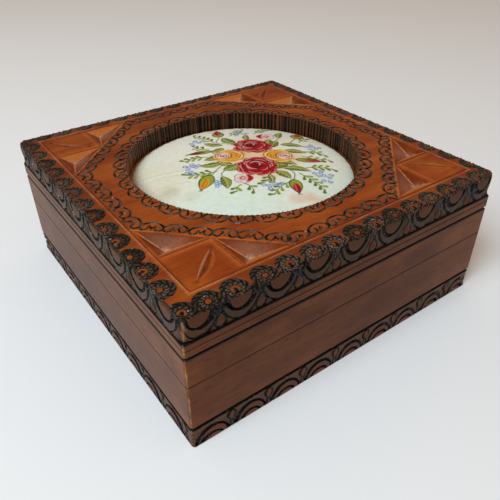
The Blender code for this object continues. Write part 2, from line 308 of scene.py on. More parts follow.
class Carving:
    """A drawing on a net: where the mesh needs points, which edges it has to keep, and what is cut.

    Points are followed in four ranks, each with a gap, and those of a low rank crowd out those of a higher
    one. halo is how far the scorching spreads beyond a groove.
    """

    halo = 0.22
    gaps = (0.02, 0.14, 0.14, 0.17)

    def __init__(self):
        self.points = [[] for _ in self.gaps]
        self.creases = []
        self.cuts = []

    def follow(self, points, rank):
        """Asks for points in the mesh."""
        self.points[rank].append(np.atleast_2d(points))

    def crease(self, path):
        """Asks for edges along a path, for a sharp bend in the surface."""
        self.creases.append(np.asarray(path, float))

    def area(self, low, high, cut):
        """Adds a cut that changes only the points between two corners of the net."""
        self.cuts.append((np.asarray(low), np.asarray(high), cut))

    def stroke(self, path, half, depth, scorch=1.0, fine=False, painted_highlight=0.0):
        """A scorched groove along a path, with its half width and depth, and a pale painted highlight in it,
        at each point.
        """
        half = np.broadcast_to(half, len(path)).astype(float)
        depth = np.broadcast_to(depth, len(path)).astype(float)
        painted_highlight = np.broadcast_to(painted_highlight, len(path)).astype(float)
        heading = np.gradient(path, axis=0)
        heading /= np.maximum(np.linalg.norm(heading, axis=1), 1e-9)[:, None]
        beside = np.column_stack((-heading[:, 1], heading[:, 0]))
        self.follow(path, 1)
        for side in (-1, 1):
            self.follow(path + beside * (side * half)[:, None], 2)
            self.follow(path + beside * (side * (half + self.halo))[:, None], 3)
            if fine:
                self.follow(path + beside * (side * half * 0.5)[:, None], 2)
        counts = np.arange(len(path))

        def cut(points, field, index):
            away, place = near_path(points[index], path)
            wide = np.interp(place, counts, half)
            bowl = np.clip(1 - (away / wide) ** 2, 0, 1)
            field.raise_to("depth", index, np.interp(place, counts, depth) * bowl)
            burnt = scorch * np.clip(1 + (wide - away) / self.halo, 0, 1)
            field.raise_to("scorch", index, burnt)
            # The groove's middle is painted pale grey: a painted highlight on its lacquered walls.
            grey = np.interp(place, counts, painted_highlight) * bowl ** 1.5
            field.raise_to("dust_and_sheen", index, grey)

        reach = half.max() + self.halo
        self.area(path.min(0) - reach, path.max(0) + reach, cut)

    def work(self, points):
        """The depth and finish at points of the net."""
        field = Field(len(points))
        for low, high, cut in self.cuts:
            index = np.flatnonzero(((points > low) & (points < high)).all(1))
            if len(index):
                cut(points, field, index)
        return field

    def spread_points(self):
        """All points that the mesh needs, the important ones first, none too close to one before it."""
        kept = []
        cells = {}
        cell = max(self.gaps)
        for gap, followed in zip(self.gaps, self.points):
            for x, y in np.vstack(followed or [np.zeros((0, 2))]):
                column, row = int(x // cell), int(y // cell)
                near = [other for i in (-1, 0, 1) for j in (-1, 0, 1)
                        for other in cells.get((column + i, row + j), ())]
                if all((a - x) ** 2 + (b - y) ** 2 >= gap * gap for a, b in near):
                    cells.setdefault((column, row), []).append((x, y))
                    kept.append((x, y))
        return kept


def ring_points(reach, step):
    """Points round a square ring of the net, with its corners."""
    count = max(1, round(2 * reach / step))
    side = np.linspace(-reach, reach, count + 1)[:-1]
    return np.vstack([turned(np.column_stack((side, np.full(count, -reach))), turn) for turn in range(4)])


def triangulate(carving, loops):
    """Triangles over a net, with its creases and its closed border loops as edges."""
    points = [Vector(p) for p in carving.spread_points()]
    edges = []
    for path, closed in [(c, False) for c in carving.creases] + [(loop, True) for loop in loops]:
        first = len(points)
        points += [Vector(p) for p in path]
        edges += [(first + i, first + i + 1) for i in range(len(path) - 1)]
        if closed:
            edges.append((first + len(path) - 1, first))
    places, _, faces, *_ = delaunay_2d_cdt(points, edges, [], 0, 1e-5)
    return np.array([(p.x, p.y) for p in places]), np.array(faces)


def mesh_object(name, places, faces, sharp_angle, paint, layer="finish"):
    """A mesh from places in metres, with paint in a layer of its own, shaded smooth up to an angle."""
    mesh = bpy.data.meshes.new(name)
    mesh.from_pydata([tuple(p) for p in places], [], [tuple(int(i) for i in f) for f in faces])
    painted = mesh.color_attributes.new(layer, "FLOAT_COLOR", "POINT")
    painted.data.foreach_set("color", np.asarray(paint, np.float32).ravel())
    mesh.shade_smooth()
    mesh.set_sharp_from_angle(angle=math.radians(sharp_angle))
    made = bpy.data.objects.new(name, mesh)
    bpy.context.scene.collection.objects.link(made)
    return made


def dress(piece, material, slot, *nodes):
    """Gives a piece its material and its place in the frame."""
    piece.data.materials.append(material)
    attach(piece, "root")
    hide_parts(*nodes)


def arc(centre, across, down, spread, count):
    """Points of an ellipse from left to right, to spread degrees on each side of its lowest point."""
    turn = np.radians(np.linspace(-spread, spread, count))
    return np.column_stack((centre[0] + across * np.sin(turn), centre[1] + down * np.cos(turn)))


def close_loop(points, select):
    """The chosen points of a net in order round its middle."""
    index = np.flatnonzero(select)
    return index[np.argsort(np.arctan2(points[index, 1], points[index, 0]))]


# What is set out, cut or painted by hand is a little off, by amounts drawn from these.
draw = np.random.default_rng(11)
setting_out = np.random.default_rng(5)

board_low, board_high = (corner.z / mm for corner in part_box("bottom_board"))
plinth_groove_depth = 1.3
plinth_groove_height = 0.8
foot_round = 0.5
plinth_section = [
    (plinth_groove_depth, board_high, 30),
    (0.25, board_high - plinth_groove_height + 0.15, 60),
    (0, board_high - plinth_groove_height, 90),
    (0, board_low + foot_round, 90),
    (foot_round * 0.3, board_low + foot_round * 0.3, 135),
    (foot_round, board_low, 180),
]
plinth_net = Net(plinth_section, 1.4)


def even_row(count, pitch):
    """The middles of a row of like motifs along one side, each a little off, as a hand sets them."""
    return [(i - (count - 1) / 2) * pitch + setting_out.normal(0, 0.3) for i in range(count)]


# The arches' middles. The rows on the front and on the left side start and drift as the real ones do.
arch_middles = {
    0: (-78.1, -58.9, -40.1, -20.5, -0.9, 19.0, 37.6, 58.5, 80.2),
    1: even_row(9, 19.6),
    2: even_row(9, 19.6),
    3: (-82.0, -62.7, -42.3, -22.5, -2.0, 16.6, 34.7, 51.6, 71.5),
}
arch_across = 7.5
arch_height = 7.6
arch_inner_across = 4.7
arch_inner_height = 3.5
arch_sunk = 0.3
bud_down = 3.9
bud_across = 1.85
bud_half_height = 2.9


def arch_row(carving, net, side, middles):
    """Double arches on the lower edge, and between each two a ringed bud with its stem, in sunk ground."""
    foot = board_high - board_low

    def sink(points, field, index):
        drawn = net.drawing(side, points[index])
        ground = fade(drawn[:, 1], 2.3, 1.9)
        for middle in middles:
            up = (drawn[:, 1] - foot - arch_sunk) / (arch_height + arch_sunk)
            away = np.hypot((drawn[:, 0] - middle) / arch_across, up)
            ground = np.minimum(ground, fade(away, 1.06, 0.98))
        for gap in gaps:
            away = np.hypot((drawn[:, 0] - gap) / bud_across, (drawn[:, 1] - bud_down) / bud_half_height)
            ground = np.minimum(ground, fade(away, 1.06, 0.96))
        field.raise_to("depth", index, 0.35 * ground)
        field.raise_to("scorch", index, 0.42 * ground)

    for middle in middles:
        shift = draw.normal(0, 0.12, 3)
        for across, height, depth in ((arch_across, arch_height, 0.95),
                                      (arch_inner_across, arch_inner_height, 0.9)):
            path = arc((middle + shift[0], foot + arch_sunk), across + shift[1],
                       -height - arch_sunk + shift[2], 90, round(across * 5))
            half = 0.62 + 0.12 * np.cos(np.linspace(-1, 1, len(path)) * math.pi / 2)
            carving.stroke(net.place(side, path), half, depth, fine=True)
    gaps = [(a + b) / 2 for a, b in zip(middles, middles[1:])]
    gaps += [g for g in (2 * middles[0] - gaps[0], 2 * middles[-1] - gaps[-1]) if abs(g) < half_side - 2]
    for gap in gaps:
        ring = arc((gap, bud_down), bud_across, -bud_half_height, 118, 19)
        carving.stroke(net.place(side, ring), 0.5, 0.75)
        for lean in (-1, 1):
            stem = [(gap + lean * 1.5, 5.4), (gap + lean * 0.75, 6.6), (gap + lean * 0.7, 8.2),
                    (gap + lean * 1.5, foot)]
            carving.stroke(net.place(side, smooth_path(stem, 0.7)), 0.45, 0.7)
    carving.area(*net.side_area(side), sink)


plinth = Carving()
for side, middles in arch_middles.items():
    arch_row(plinth, plinth_net, side, middles)
for reach in plinth_net.reach[1:-1]:
    plinth.follow(ring_points(reach, 1.1), 1)
for down in (2.2, 4.4, 6.6, 8.8):
    plinth.follow(ring_points(plinth_net.edge + down, 1.6), 3)
plinth_rim = ring_points(plinth_net.reach[0], 1.5)
plinth_foot = ring_points(plinth_net.reach[-1], 1.5)
plinth_points, plinth_faces = triangulate(plinth, [plinth_rim, plinth_foot])
reach = np.abs(plinth_points).max(1)
middle_reach = np.abs(plinth_points[plinth_faces].mean(1)).max(1)
plinth_faces = plinth_faces[middle_reach > plinth_net.reach[0]]

# Only the upright side is carved. The groove under the walls is burnt, and the side's ground is seared.
carved = plinth.work(plinth_points)
upright = (reach > plinth_net.edge + 0.8) & (reach < plinth_net.reach[3])
carved.depth[~upright] = 0
groove_rim = plinth_net.reach[2]
carved.scorch = np.maximum(carved.scorch, fade(reach, groove_rim - 0.1, groove_rim + 0.35))
carved.scorch = np.maximum(carved.scorch, 0.32 * upright)
carved.deep = 0.7 * fade(reach, plinth_net.edge + 0.8, plinth_net.edge)
top_loop = close_loop(plinth_points, reach < plinth_net.reach[0] + 1e-3)
foot_loop = close_loop(plinth_points, reach > plinth_net.reach[-1] - 1e-3)
bottom_board = mesh_object(
    "bottom_board_carved", plinth_net.fold(plinth_points, carved.depth),
    [tuple(f) for f in plinth_faces] + [tuple(top_loop), tuple(foot_loop[::-1])], 48, carved.finish())
dress(bottom_board, carved_linden, "carved_wood", "bottom_board")

# The base walls
#
# Four plain linden walls, mitred and glued at the corners. They stand on the bottom board and end in a lip
# that the lid drops over. Hands have rubbed the stain off their upright corners.

mitre_gap = 0.015
wall_corner_radius = 1.4
walls_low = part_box("base_wall_front")[0].z / mm
lip_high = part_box("base_wall_front")[1].z / mm
seam_height = lip_high - 2.85
wall_thickness = 9
lip_inset = 4.8
base_wall_section = [
    (0.15, seam_height - 0.15), (lip_inset, seam_height - 0.15), (lip_inset, lip_high),
    (wall_thickness, lip_high), (wall_thickness, walls_low), (1.3, walls_low), (0.65, walls_low + 0.4),
    (0, walls_low + 0.8), (0, walls_low + 1.2), (0, seam_height - 0.8), (0, seam_height - 0.3),
]


def wander(places, wave, seed):
    """A value of about -1 to 1 that wanders smoothly along some places, with bends about a wave long."""
    turns = np.random.default_rng(seed).uniform(0, whole_turn, 4)
    stretches = (1.0, 1.63, 2.71, 4.37)
    return sum(np.sin(places * whole_turn / wave * s + t) / (0.6 + s) for s, t in zip(stretches, turns))


def sweep_wall(name, side, section, finish_at):
    """One wall between its mitres, its long steps divided so that the finish can change along them."""
    section = np.array(section, float)
    fine = []
    for start, end in zip(section, np.roll(section, -1, 0)):
        long_step = np.linalg.norm(end - start) if max(start[0], end[0]) < 0.5 else 0
        parts = max(1, round(long_step / 1.5))
        fine += [start + (end - start) * i / parts for i in range(parts)]
    inset, height = np.array(fine).T
    ends = np.array([0, 0.2, 0.4, 0.6, 0.8, 1.0, 1.2, 1.4, 1.7, 2.2, 3.0, 4.2, 6.0, 8.5, 11.5])
    stations = np.concatenate((ends - half_side, np.linspace(15 - half_side, half_side - 15, 45),
                               half_side - ends[::-1]))
    half = half_side - inset
    along, out, _ = round_corner(stations[:, None] / half_side * half, half,
                                 np.maximum(wall_corner_radius - inset, 0.01))
    finish = finish_at(along, np.broadcast_to(inset, along.shape), np.broadcast_to(height, along.shape))
    along = along - mitre_gap * np.sign(along)
    spots = turned(np.column_stack((along.ravel(), -out.ravel())), side)
    places = np.column_stack((spots, np.broadcast_to(height, along.shape).ravel())) * mm
    rows, columns = along.shape
    faces = [tuple(range(columns)), tuple(range((rows - 1) * columns, rows * columns))[::-1]]
    for i in range(rows - 1):
        for j in range(columns):
            k = (j + 1) % columns
            faces.append((i * columns + k, i * columns + j, (i + 1) * columns + j, (i + 1) * columns + k))
    return mesh_object(name, places, faces, 35, finish.reshape(-1, 4))


def worn_corner(along, height, seed):
    """How far the stain is rubbed off beside a wall's two upright corners."""
    reach = 0.55 + 0.25 * wander(height, 17, seed)
    strength = 0.75 + 0.25 * wander(height, 6, seed + 1)
    return np.maximum(np.clip(1 - (half_side - np.abs(along) - 0.2) / reach, 0, 1) * strength, 0)


def wall_stain(along, height, seed):
    """How dark a wall is stained: unevenly, and less toward its two upright corners."""
    uneven = 0.5 + 0.2 * wander(along, 60, seed) * wander(height, 30, seed + 1)
    return np.clip(uneven - 0.45 * fade(np.abs(along), half_side, 45), 0, 1)


def base_wall_finish(along, inset, height):
    """Scorched at its foot and a little at the seam, and rubbed at its upright corners."""
    scorch = fade(height, walls_low + 0.1, walls_low + 1.0)
    scorch += 0.35 * fade(height, seam_height - 0.25, seam_height - 0.7)
    scorch *= 0.9 * (inset < 1.5)
    wear_and_highlight = worn_corner(along, height, 21) * (inset < 0.7)
    return np.stack((scorch, wear_and_highlight, wall_stain(along, height, 22), np.zeros(along.shape)), axis=2)


wall_colours = {
    "light": "#7C481C", "dark": "#6E3E18", "blotch": "#E2D6CA", "fibre": "#E2D6CC", "pore": "#C0B0A2",
    "deep": "#B8A48E", "wear_and_highlight": "#C0905C", "seared": "#42322A", "char": "#14100E", "dust_and_sheen": "#B09A88",
}
# The grain runs along each wall, and the side walls took a little more of the lacquer.
wall_linden = [stained_linden("wall_linden_x", 0, wall_colours, 0.13),
               stained_linden("wall_linden_y", 1, wall_colours, 0.22)]
wall_sides = ("front", "right", "back", "left")
for side, word in enumerate(wall_sides):
    wall = sweep_wall(f"base_wall_{word}_finished", side, base_wall_section, base_wall_finish)
    dress(wall, wall_linden[side % 2], "wall_wood", f"base_wall_{word}")

# The lid walls
#
# The lid's own four linden walls, mitred like the base's and rebated inside to drop over its lip. A scorched
# groove below the carved board sets off a plain band with a fine line scratched along its middle.

lid_low, lid_high = (corner.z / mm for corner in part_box("lid_wall_front"))
rebate_inset = 4.4
rebate_high = lid_low + 3.4
band_low = lid_high - 6.2
band_middle = (band_low + lid_high) / 2
groove_depth = 1.4
groove_half = 0.9
groove_middle = band_low - groove_half
line_depth = 0.3
line_half = 0.35
lid_wall_section = [
    (0.6, lid_high), (wall_thickness, lid_high), (wall_thickness, rebate_high), (rebate_inset, rebate_high),
    (rebate_inset, lid_low), (0.15, lid_low), (0, lid_low + 0.15), (0, lid_low + 0.7),
    (0, groove_middle - groove_half - 0.5), (0, groove_middle - groove_half),
    (groove_depth / 2, groove_middle - groove_half / 2), (groove_depth, groove_middle),
    (groove_depth / 2, groove_middle + groove_half / 2), (0, band_low), (0, band_low + 0.4),
    (0, band_middle - line_half), (line_depth, band_middle), (0, band_middle + line_half),
    (0, lid_high - 0.9), (0, lid_high - 0.5), (0.3, lid_high - 0.2),
]


def lid_wall_finish(along, inset, height):
    """Scorched in its groove and at its top, less at its foot and in the line, and rubbed at the corners."""
    scorch = fade(np.abs(height - groove_middle), 0.7, 1.05)
    scorch += fade(height, lid_high - 0.35, lid_high - 0.8)
    scorch += 0.3 * fade(height, lid_low + 0.2, lid_low + 0.7)
    wear_and_highlight = worn_corner(along, height, 31) * (1 - np.clip(scorch, 0, 1)) * (inset < 1.5)
    scorch += 0.35 * fade(np.abs(height - band_middle), 0.1, 0.6)
    scorch = np.clip(scorch, 0, 1) * (inset < 1.5)
    return np.stack((scorch, wear_and_highlight, wall_stain(along, height, 32), np.zeros(along.shape)), axis=2)


for side, word in enumerate(wall_sides):
    wall = sweep_wall(f"lid_wall_{word}_finished", side, lid_wall_section, lid_wall_finish)
    dress(wall, wall_linden[side % 2], "wall_wood", f"lid_wall_{word}")

# The lid board
#
# A thick linden board, glued on the lid's walls, with a round recess for the picture. Wheels are stamped
# along its upper edge, scrolls burnt into its top, pits and leaves cut in its corners, festoons in its sides.

lid_board_low, lid_board_high = (corner.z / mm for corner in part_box("lid_board"))
edge_round = 1.8
round_steps = np.radians(np.arange(0, 91, 15))
lid_section = [(half_side, lid_board_high, 0)]
lid_section += [(edge_round * (1 - math.sin(turn)), lid_board_high - edge_round * (1 - math.cos(turn)),
                 math.degrees(turn)) for turn in round_steps]
lid_section += [(0, lid_board_low + 0.6, 90), (0.6, lid_board_low, 150)]
lid_net = Net(lid_section, 4.0)
lid_carving = Carving()

# The wheels' middles along each side, set out like the arches. One more stands on each corner.
wheel_reach = half_side - 2.1
wheel_middles = {
    0: (-75.0, -63.8, -50.9, -39.4, -27.5, -16.3, -4.6, 6.9, 17.8, 29.6, 41.5, 53.8, 64.8, 76.3),
    1: even_row(13, 12.35),
    2: even_row(14, 11.55),
    3: (-74.4, -62.8, -50.6, -38.8, -26.3, -14.4, -1.5, 10.0, 23.1, 33.8, 46.6, 57.5, 70.4),
}
rib_count = 11
rib_swirl = 1.35
wheel_radius = 5.6
wheel_foot = lid_net.edge + 2.2
# The wheels on the left side are burnt a little more, which paints them browner: a painted sheen.
left_wheels_browner = 0.12


def toward(turn):
    """The direction at a turn from the first axis."""
    return np.array([math.cos(turn), math.sin(turn)])


def circle(turns):
    """The directions at several turns, as points of a circle."""
    return np.column_stack((np.cos(turns), np.sin(turns)))


def sink_round_edge(carving):
    """The scorched ground that shows between the wheels on the board's rounded edge."""

    def sink(points, field, index):
        reach = np.abs(points[index]).max(1)
        ground = fade(reach, wheel_reach + 1.9, wheel_reach + 1.3)
        ground *= fade(reach, lid_net.edge + 1.3, lid_net.edge + 1.8)
        field.raise_to("depth", index, 0.8 * ground)
        field.raise_to("scorch", index, 0.75 * ground)

    carving.area(np.full(2, -half_side - 3), np.full(2, half_side + 3), sink)


def wheel(carving, centre, inward, arched):
    """A stamped wheel: two rings of slanted ribs round a raised dot, or round an arch open to the edge."""
    beside = np.array([inward[1], -inward[0]])
    size = 1 + draw.normal(0, 0.015)
    spin = draw.uniform(0, whole_turn)
    # On the left side the burn is raised, a browner painted sheen.
    burn = draw.uniform(0.0, 0.3) + left_wheels_browner * (centre[0] < 5 - wheel_reach)
    strand_highlight = draw.uniform(0.05, 0.35)
    hub = 2.2 if arched else 1.6
    split = 0.5

    def outline(turn):
        return (wheel_radius + 0.3 * np.sin(turn)) * size

    def whorl(share, rib):
        """A place on a rib's line for its share of the way out. The line leans as it goes outward."""
        first = rib * whole_turn / (2 * rib_count) - spin / rib_count
        radius = hub + share * (outline(first) - hub)
        turn = first + rib_swirl * np.log(radius / hub)
        radius = hub + share * (outline(turn) - hub)
        return centre + radius * (np.cos(turn) * beside + np.sin(turn) * inward)

    # Points along each rib's back and each gap, and between those
    for rib in range(4 * rib_count):
        for share in (0.0, 0.22, 0.42, 0.5, 0.58, 0.76, 0.9) if rib % 2 else (0.1, 0.34, 0.5, 0.67, 0.83):
            carving.follow(whorl(share, rib / 2), 1)
    turns = np.arange(42) * whole_turn / 42
    for share, rank in ((0.97, 1), (1.03, 1), (1.1, 3)):
        radius = hub + share * (outline(turns) - hub)
        spokes = np.cos(turns)[:, None] * beside + np.sin(turns)[:, None] * inward
        carving.follow(centre + radius[:, None] * spokes, rank)
    rings = ((0.5, 6), (0.9, 10), (1.5, 12), (2.1, 16)) if arched else ((0.55, 6), (1.05, 12), (1.35, 14))
    for radius, count in rings:
        turns = np.arange(count) * whole_turn / count
        carving.follow(centre + radius * circle(turns), 1)
    carving.follow(centre, 1)

    def cut(points, field, index):
        offset = points[index] - centre
        radius = np.maximum(np.linalg.norm(offset, axis=1), 1e-3)
        turn = np.arctan2(offset @ inward, offset @ beside)
        share = (radius - hub) / (outline(turn) - hub)
        # crest is 1 on a rib's back, where the strand of lighter wood stays, and 0 between two ribs. tier is
        # the groove between the two rings.
        swirl = rib_swirl * np.log(np.maximum(radius, hub) / hub)
        crest = 0.5 - 0.5 * np.cos(rib_count * (turn - swirl) + spin)
        within = fade(share, 0.98, 1.04)
        tier = fade(np.abs(share - split), 0.015, 0.09)
        outer = share > split
        strand = fade(crest, 0.85, 0.3) * np.where(outer, 0.5, 1.0)
        depth = np.maximum(0.1 + np.where(outer, 0.35, 0.5) * (1 - crest), 0.45 * tier) * within
        scorch = np.maximum(1 - (0.73 - burn) * strand, tier)
        scorch = np.maximum(scorch, fade(np.abs(share - 0.97), 0.03, 0.12)) * within

        # The hub, with its raised dot or arch
        core = radius < hub
        if arched:
            toward_edge = np.abs((turn + math.pi / 2 + math.pi) % whole_turn - math.pi)
            stem = fade(toward_edge, 0.45, 0.7)
            lit = fade(np.abs(radius - 1.45), 0.45, 0.75) * (1 - stem) * core
        else:
            lit = fade(radius, 1.0, 1.3) * core
        depth = np.where(core, 0.45 * (1 - lit), depth)
        scorch = np.where(core, 1 - lit, scorch)

        # The stamp reaches down the rounded edge as far as the wheel's foot.
        above = fade(np.abs(points[index]).max(1), wheel_foot - 0.15, wheel_foot + 0.1)
        field.depth[index] = np.maximum(field.depth[index] * (1 - above * within), depth * above)
        field.scorch[index] = np.maximum(field.scorch[index] * (1 - above * within), scorch * above)
        field.deep[index] = np.where(within * above > 0.5, 0.3 * lit, field.deep[index])
        # The ribs' backs are painted paler by a share drawn for each wheel: a painted highlight.
        painted_highlight = strand_highlight * strand * (1 - tier) * within * above * (1 - core)
        field.raise_to("dust_and_sheen", index, painted_highlight)

    carving.area(centre - wheel_radius - 1, centre + wheel_radius + 1, cut)


def wheel_rows(carving):
    """The wheels of all four sides, each row from its left corner on, plain ones and arched ones in turn."""
    arched = True
    for side, middles in wheel_middles.items():
        for across in (-wheel_reach, *middles):
            inward = (0.7071, 0.7071) if across == -wheel_reach else (0.0, 1.0)
            middle, inward = turned([(across, -wheel_reach), inward], side)
            wheel(carving, middle, inward, arched)
            arched = not arched
    for out in (1.3, 1.7, 2.1):
        carving.follow(ring_points(wheel_reach + out, 0.8), 3)


# The festoons' middles. There are nine to a side, with a ringed bud between each two.
festoon_middles = {
    0: (-80.3, -62.8, -45.2, -26.5, -6.4, 14.9, 35.8, 57.2, 77.7),
    1: even_row(9, 19.65),
    2: even_row(9, 19.65),
    3: (-80.2, -61.0, -43.5, -24.8, -4.4, 15.5, 37.0, 56.3, 76.7),
}
festoon_top = 1.0
festoon_panel = (6.05, 6.9)
festoon_outer = (8.5, 11.1)
hung_bud_down = 9.3
hung_bud_size = (2.7, 3.9)
hung_ring_down = 8.9
hung_ring_size = (4.7, 6.6)


def drop(centre, width, length, count):
    """A closed drop with its tip up, widest near its lower end."""
    turn = np.linspace(0, whole_turn, count + 1)
    across = width / 2 * np.sin(turn) * np.sin(turn / 2) / 0.77
    return np.column_stack((centre[0] + across, centre[1] - length / 2 * np.cos(turn)))


def inside(points, outline):
    """Which points lie inside a closed outline."""
    x, y = points.T
    found = np.zeros(len(points), bool)
    for (x0, y0), (x1, y1) in zip(outline, np.roll(outline, -1, 0)):
        crosses = (y0 > y) != (y1 > y)
        slope = (x1 - x0) / (y1 - y0) if y1 != y0 else 0.0
        found ^= crosses & (x < x0 + (y - y0) * slope)
    return found


def festoon_row(carving, net, side, middles):
    """Hanging loops of two grooves and a ridge, and between each two a bud in a drop-shaped ring."""
    for middle in middles:
        shift = draw.normal(0, 0.1, 4)
        path = arc((middle, festoon_top), festoon_panel[0] + shift[0], festoon_panel[1] + shift[1], 92, 37)
        half = 0.8 + 0.3 * np.abs(np.linspace(-1, 1, len(path))) ** 1.5
        carving.stroke(net.place(side, path), half, 0.95, fine=True)
        path = arc((middle, festoon_top), festoon_outer[0] + shift[2], festoon_outer[1] + shift[3], 88, 53)
        carving.stroke(net.place(side, path), 0.55, 0.7)
        for wide, low in ((2.2, 4.2), (4.2, 6.2)):
            carving.follow(net.place(side, arc((middle, 0.8), wide, low, 80, 9)), 3)
    gaps = [middles[0] - 10, *[(a + b) / 2 for a, b in zip(middles, middles[1:])], middles[-1] + 10]
    gaps = [gap for gap in gaps if abs(gap) < half_side - 3]
    buds = [drop((gap, hung_bud_down), *hung_bud_size, 16) for gap in gaps]
    for gap, bud in zip(gaps, buds):
        carving.follow(net.place(side, bud), 1)
        carving.follow(net.place(side, drop((gap, hung_bud_down), 1.5, 2.2, 7)), 2)
        carving.stroke(net.place(side, drop((gap, hung_ring_down), *hung_ring_size, 30)), 0.42, 0.6)
        for lean in (-1, 1):
            stem = [(gap + lean * 2.6, 1.7), (gap + lean * 1.1, 3.3), (gap + lean * 0.35, 5.4)]
            carving.stroke(net.place(side, smooth_path(stem, 0.7)), 0.42, 0.55)

    def sink(points, field, index):
        drawn = net.drawing(side, points[index])
        ground = fade(drawn[:, 1], 1.5, 1.2)
        ridge = np.zeros(len(drawn))
        for middle in middles:
            offset = drawn - (middle, festoon_top)
            outer = np.hypot(*(offset / festoon_outer).T)
            inner = np.hypot(*(offset / festoon_panel).T)
            ground = np.minimum(ground, fade(outer, 1.04, 0.98))
            ridge = np.maximum(ridge, fade(outer, 0.98, 1.04) * fade(inner, 1.1, 0.95))
        swell = np.zeros(len(drawn))
        for gap, bud in zip(gaps, buds):
            near = np.flatnonzero(np.abs(drawn[:, 0] - gap) < 2.5)
            if len(near):
                out = near_path(drawn[near], bud)[0] * np.where(inside(drawn[near], bud), -1, 1)
                swell[near] = fade(out, -0.4, 0.3)
        field.raise_to("depth", index, 0.4 * ground * (1 - swell))
        field.raise_to("scorch", index, 0.5 * ground * (1 - swell))
        field.raise_to("scorch", index, 0.64 * ridge)

    carving.area(*net.side_area(side), sink)


# Half of a scroll, from its curled-in end to the middle of its back, and where the scrolls stand: in a ring
# round the picture, and in an octagon between that and the corners.
scroll_half = [(-0.1, 1.7), (-0.65, 2.6), (-1.25, 3.4), (-1.45, 2.1), (-2.0, 0.8), (-3.1, 0.2), (-4.3, 0.8),
               (-4.95, 2.2), (-4.5, 3.7), (-3.2, 4.95), (-1.3, 5.7)]
scroll_back = [(0, 5.8)]
scroll_path = smooth_path(scroll_half + scroll_back + [(-x, y) for x, y in scroll_half[::-1]], 0.75)
ring_scrolls = 36
ring_radius = 58.9
ring_turn = 0.39
octagon_pitch = 10.25
octagon_side = 76.4
octagon_cut = 105.9
deeper_press = 0.28


def scroll(carving, foot, outward, size):
    """One burnt scroll: an arc whose ends curl in beneath it. Away from the near left corner it is wider."""
    beside = np.array([outward[1], -outward[0]])
    shape = scroll_path * (size * (1 + draw.normal(0, 0.015))) + draw.normal(0, 0.12, 2)
    lean = draw.normal(0, 0.03)
    shape = shape @ np.array([[math.cos(lean), math.sin(lean)], [-math.sin(lean), math.cos(lean)]])
    path = foot + shape[:, :1] * beside + shape[:, 1:] * outward
    ends = np.minimum(np.arange(len(path)), np.arange(len(path))[::-1])
    pressed = 1 + deeper_press * fade(foot.sum(), -20, -75)
    half = (0.32 + 0.11 * np.clip(ends / 14, 0, 1)) * pressed * (1 + draw.normal(0, 0.05))
    # In patches along the groove its middle is painted pale: a painted highlight.
    patchy = np.clip(0.5 + wander(np.arange(len(path)) * 1.0, 14, draw.integers(1000)), 0, 1)
    carving.stroke(path, half, 0.42, painted_highlight=0.4 * patchy)


def scroll_rings(carving):
    """The ring, whose scrolls turn outward, and the octagon, six scrolls to a side, which turn inward."""
    for i in range(ring_scrolls):
        outward = toward(whole_turn * (i + ring_turn) / ring_scrolls + draw.normal(0, 0.006))
        scroll(carving, outward * (ring_radius + draw.normal(0, 0.12)), outward, 1.01)
    for i in range(8):
        away = octagon_cut / math.sqrt(2) if i % 2 else octagon_side
        outward = toward(i * whole_turn / 8)
        beside = np.array([-outward[1], outward[0]])
        for j in range(6):
            along = (j - 2.5) * octagon_pitch + draw.normal(0, 0.25)
            scroll(carving, outward * away + beside * along, -outward, 1.0)


# The chip-carved corners, drawn for the far right one and turned into the others. A leaf stands in a square,
# and a pit of three facets lies on each of two of its sides.
frame_reach = half_side - 10.1
pit_outline = np.array([(76.6, 30.8), (76.6, 53.0), (54.5, 53.0)])
pit_deepest = np.array([71.4, 47.8])
pit_depth = 3.0
bevel_line = 106.9
square_low = 53.9
square_high = 76.6
bevel_end = 76.9


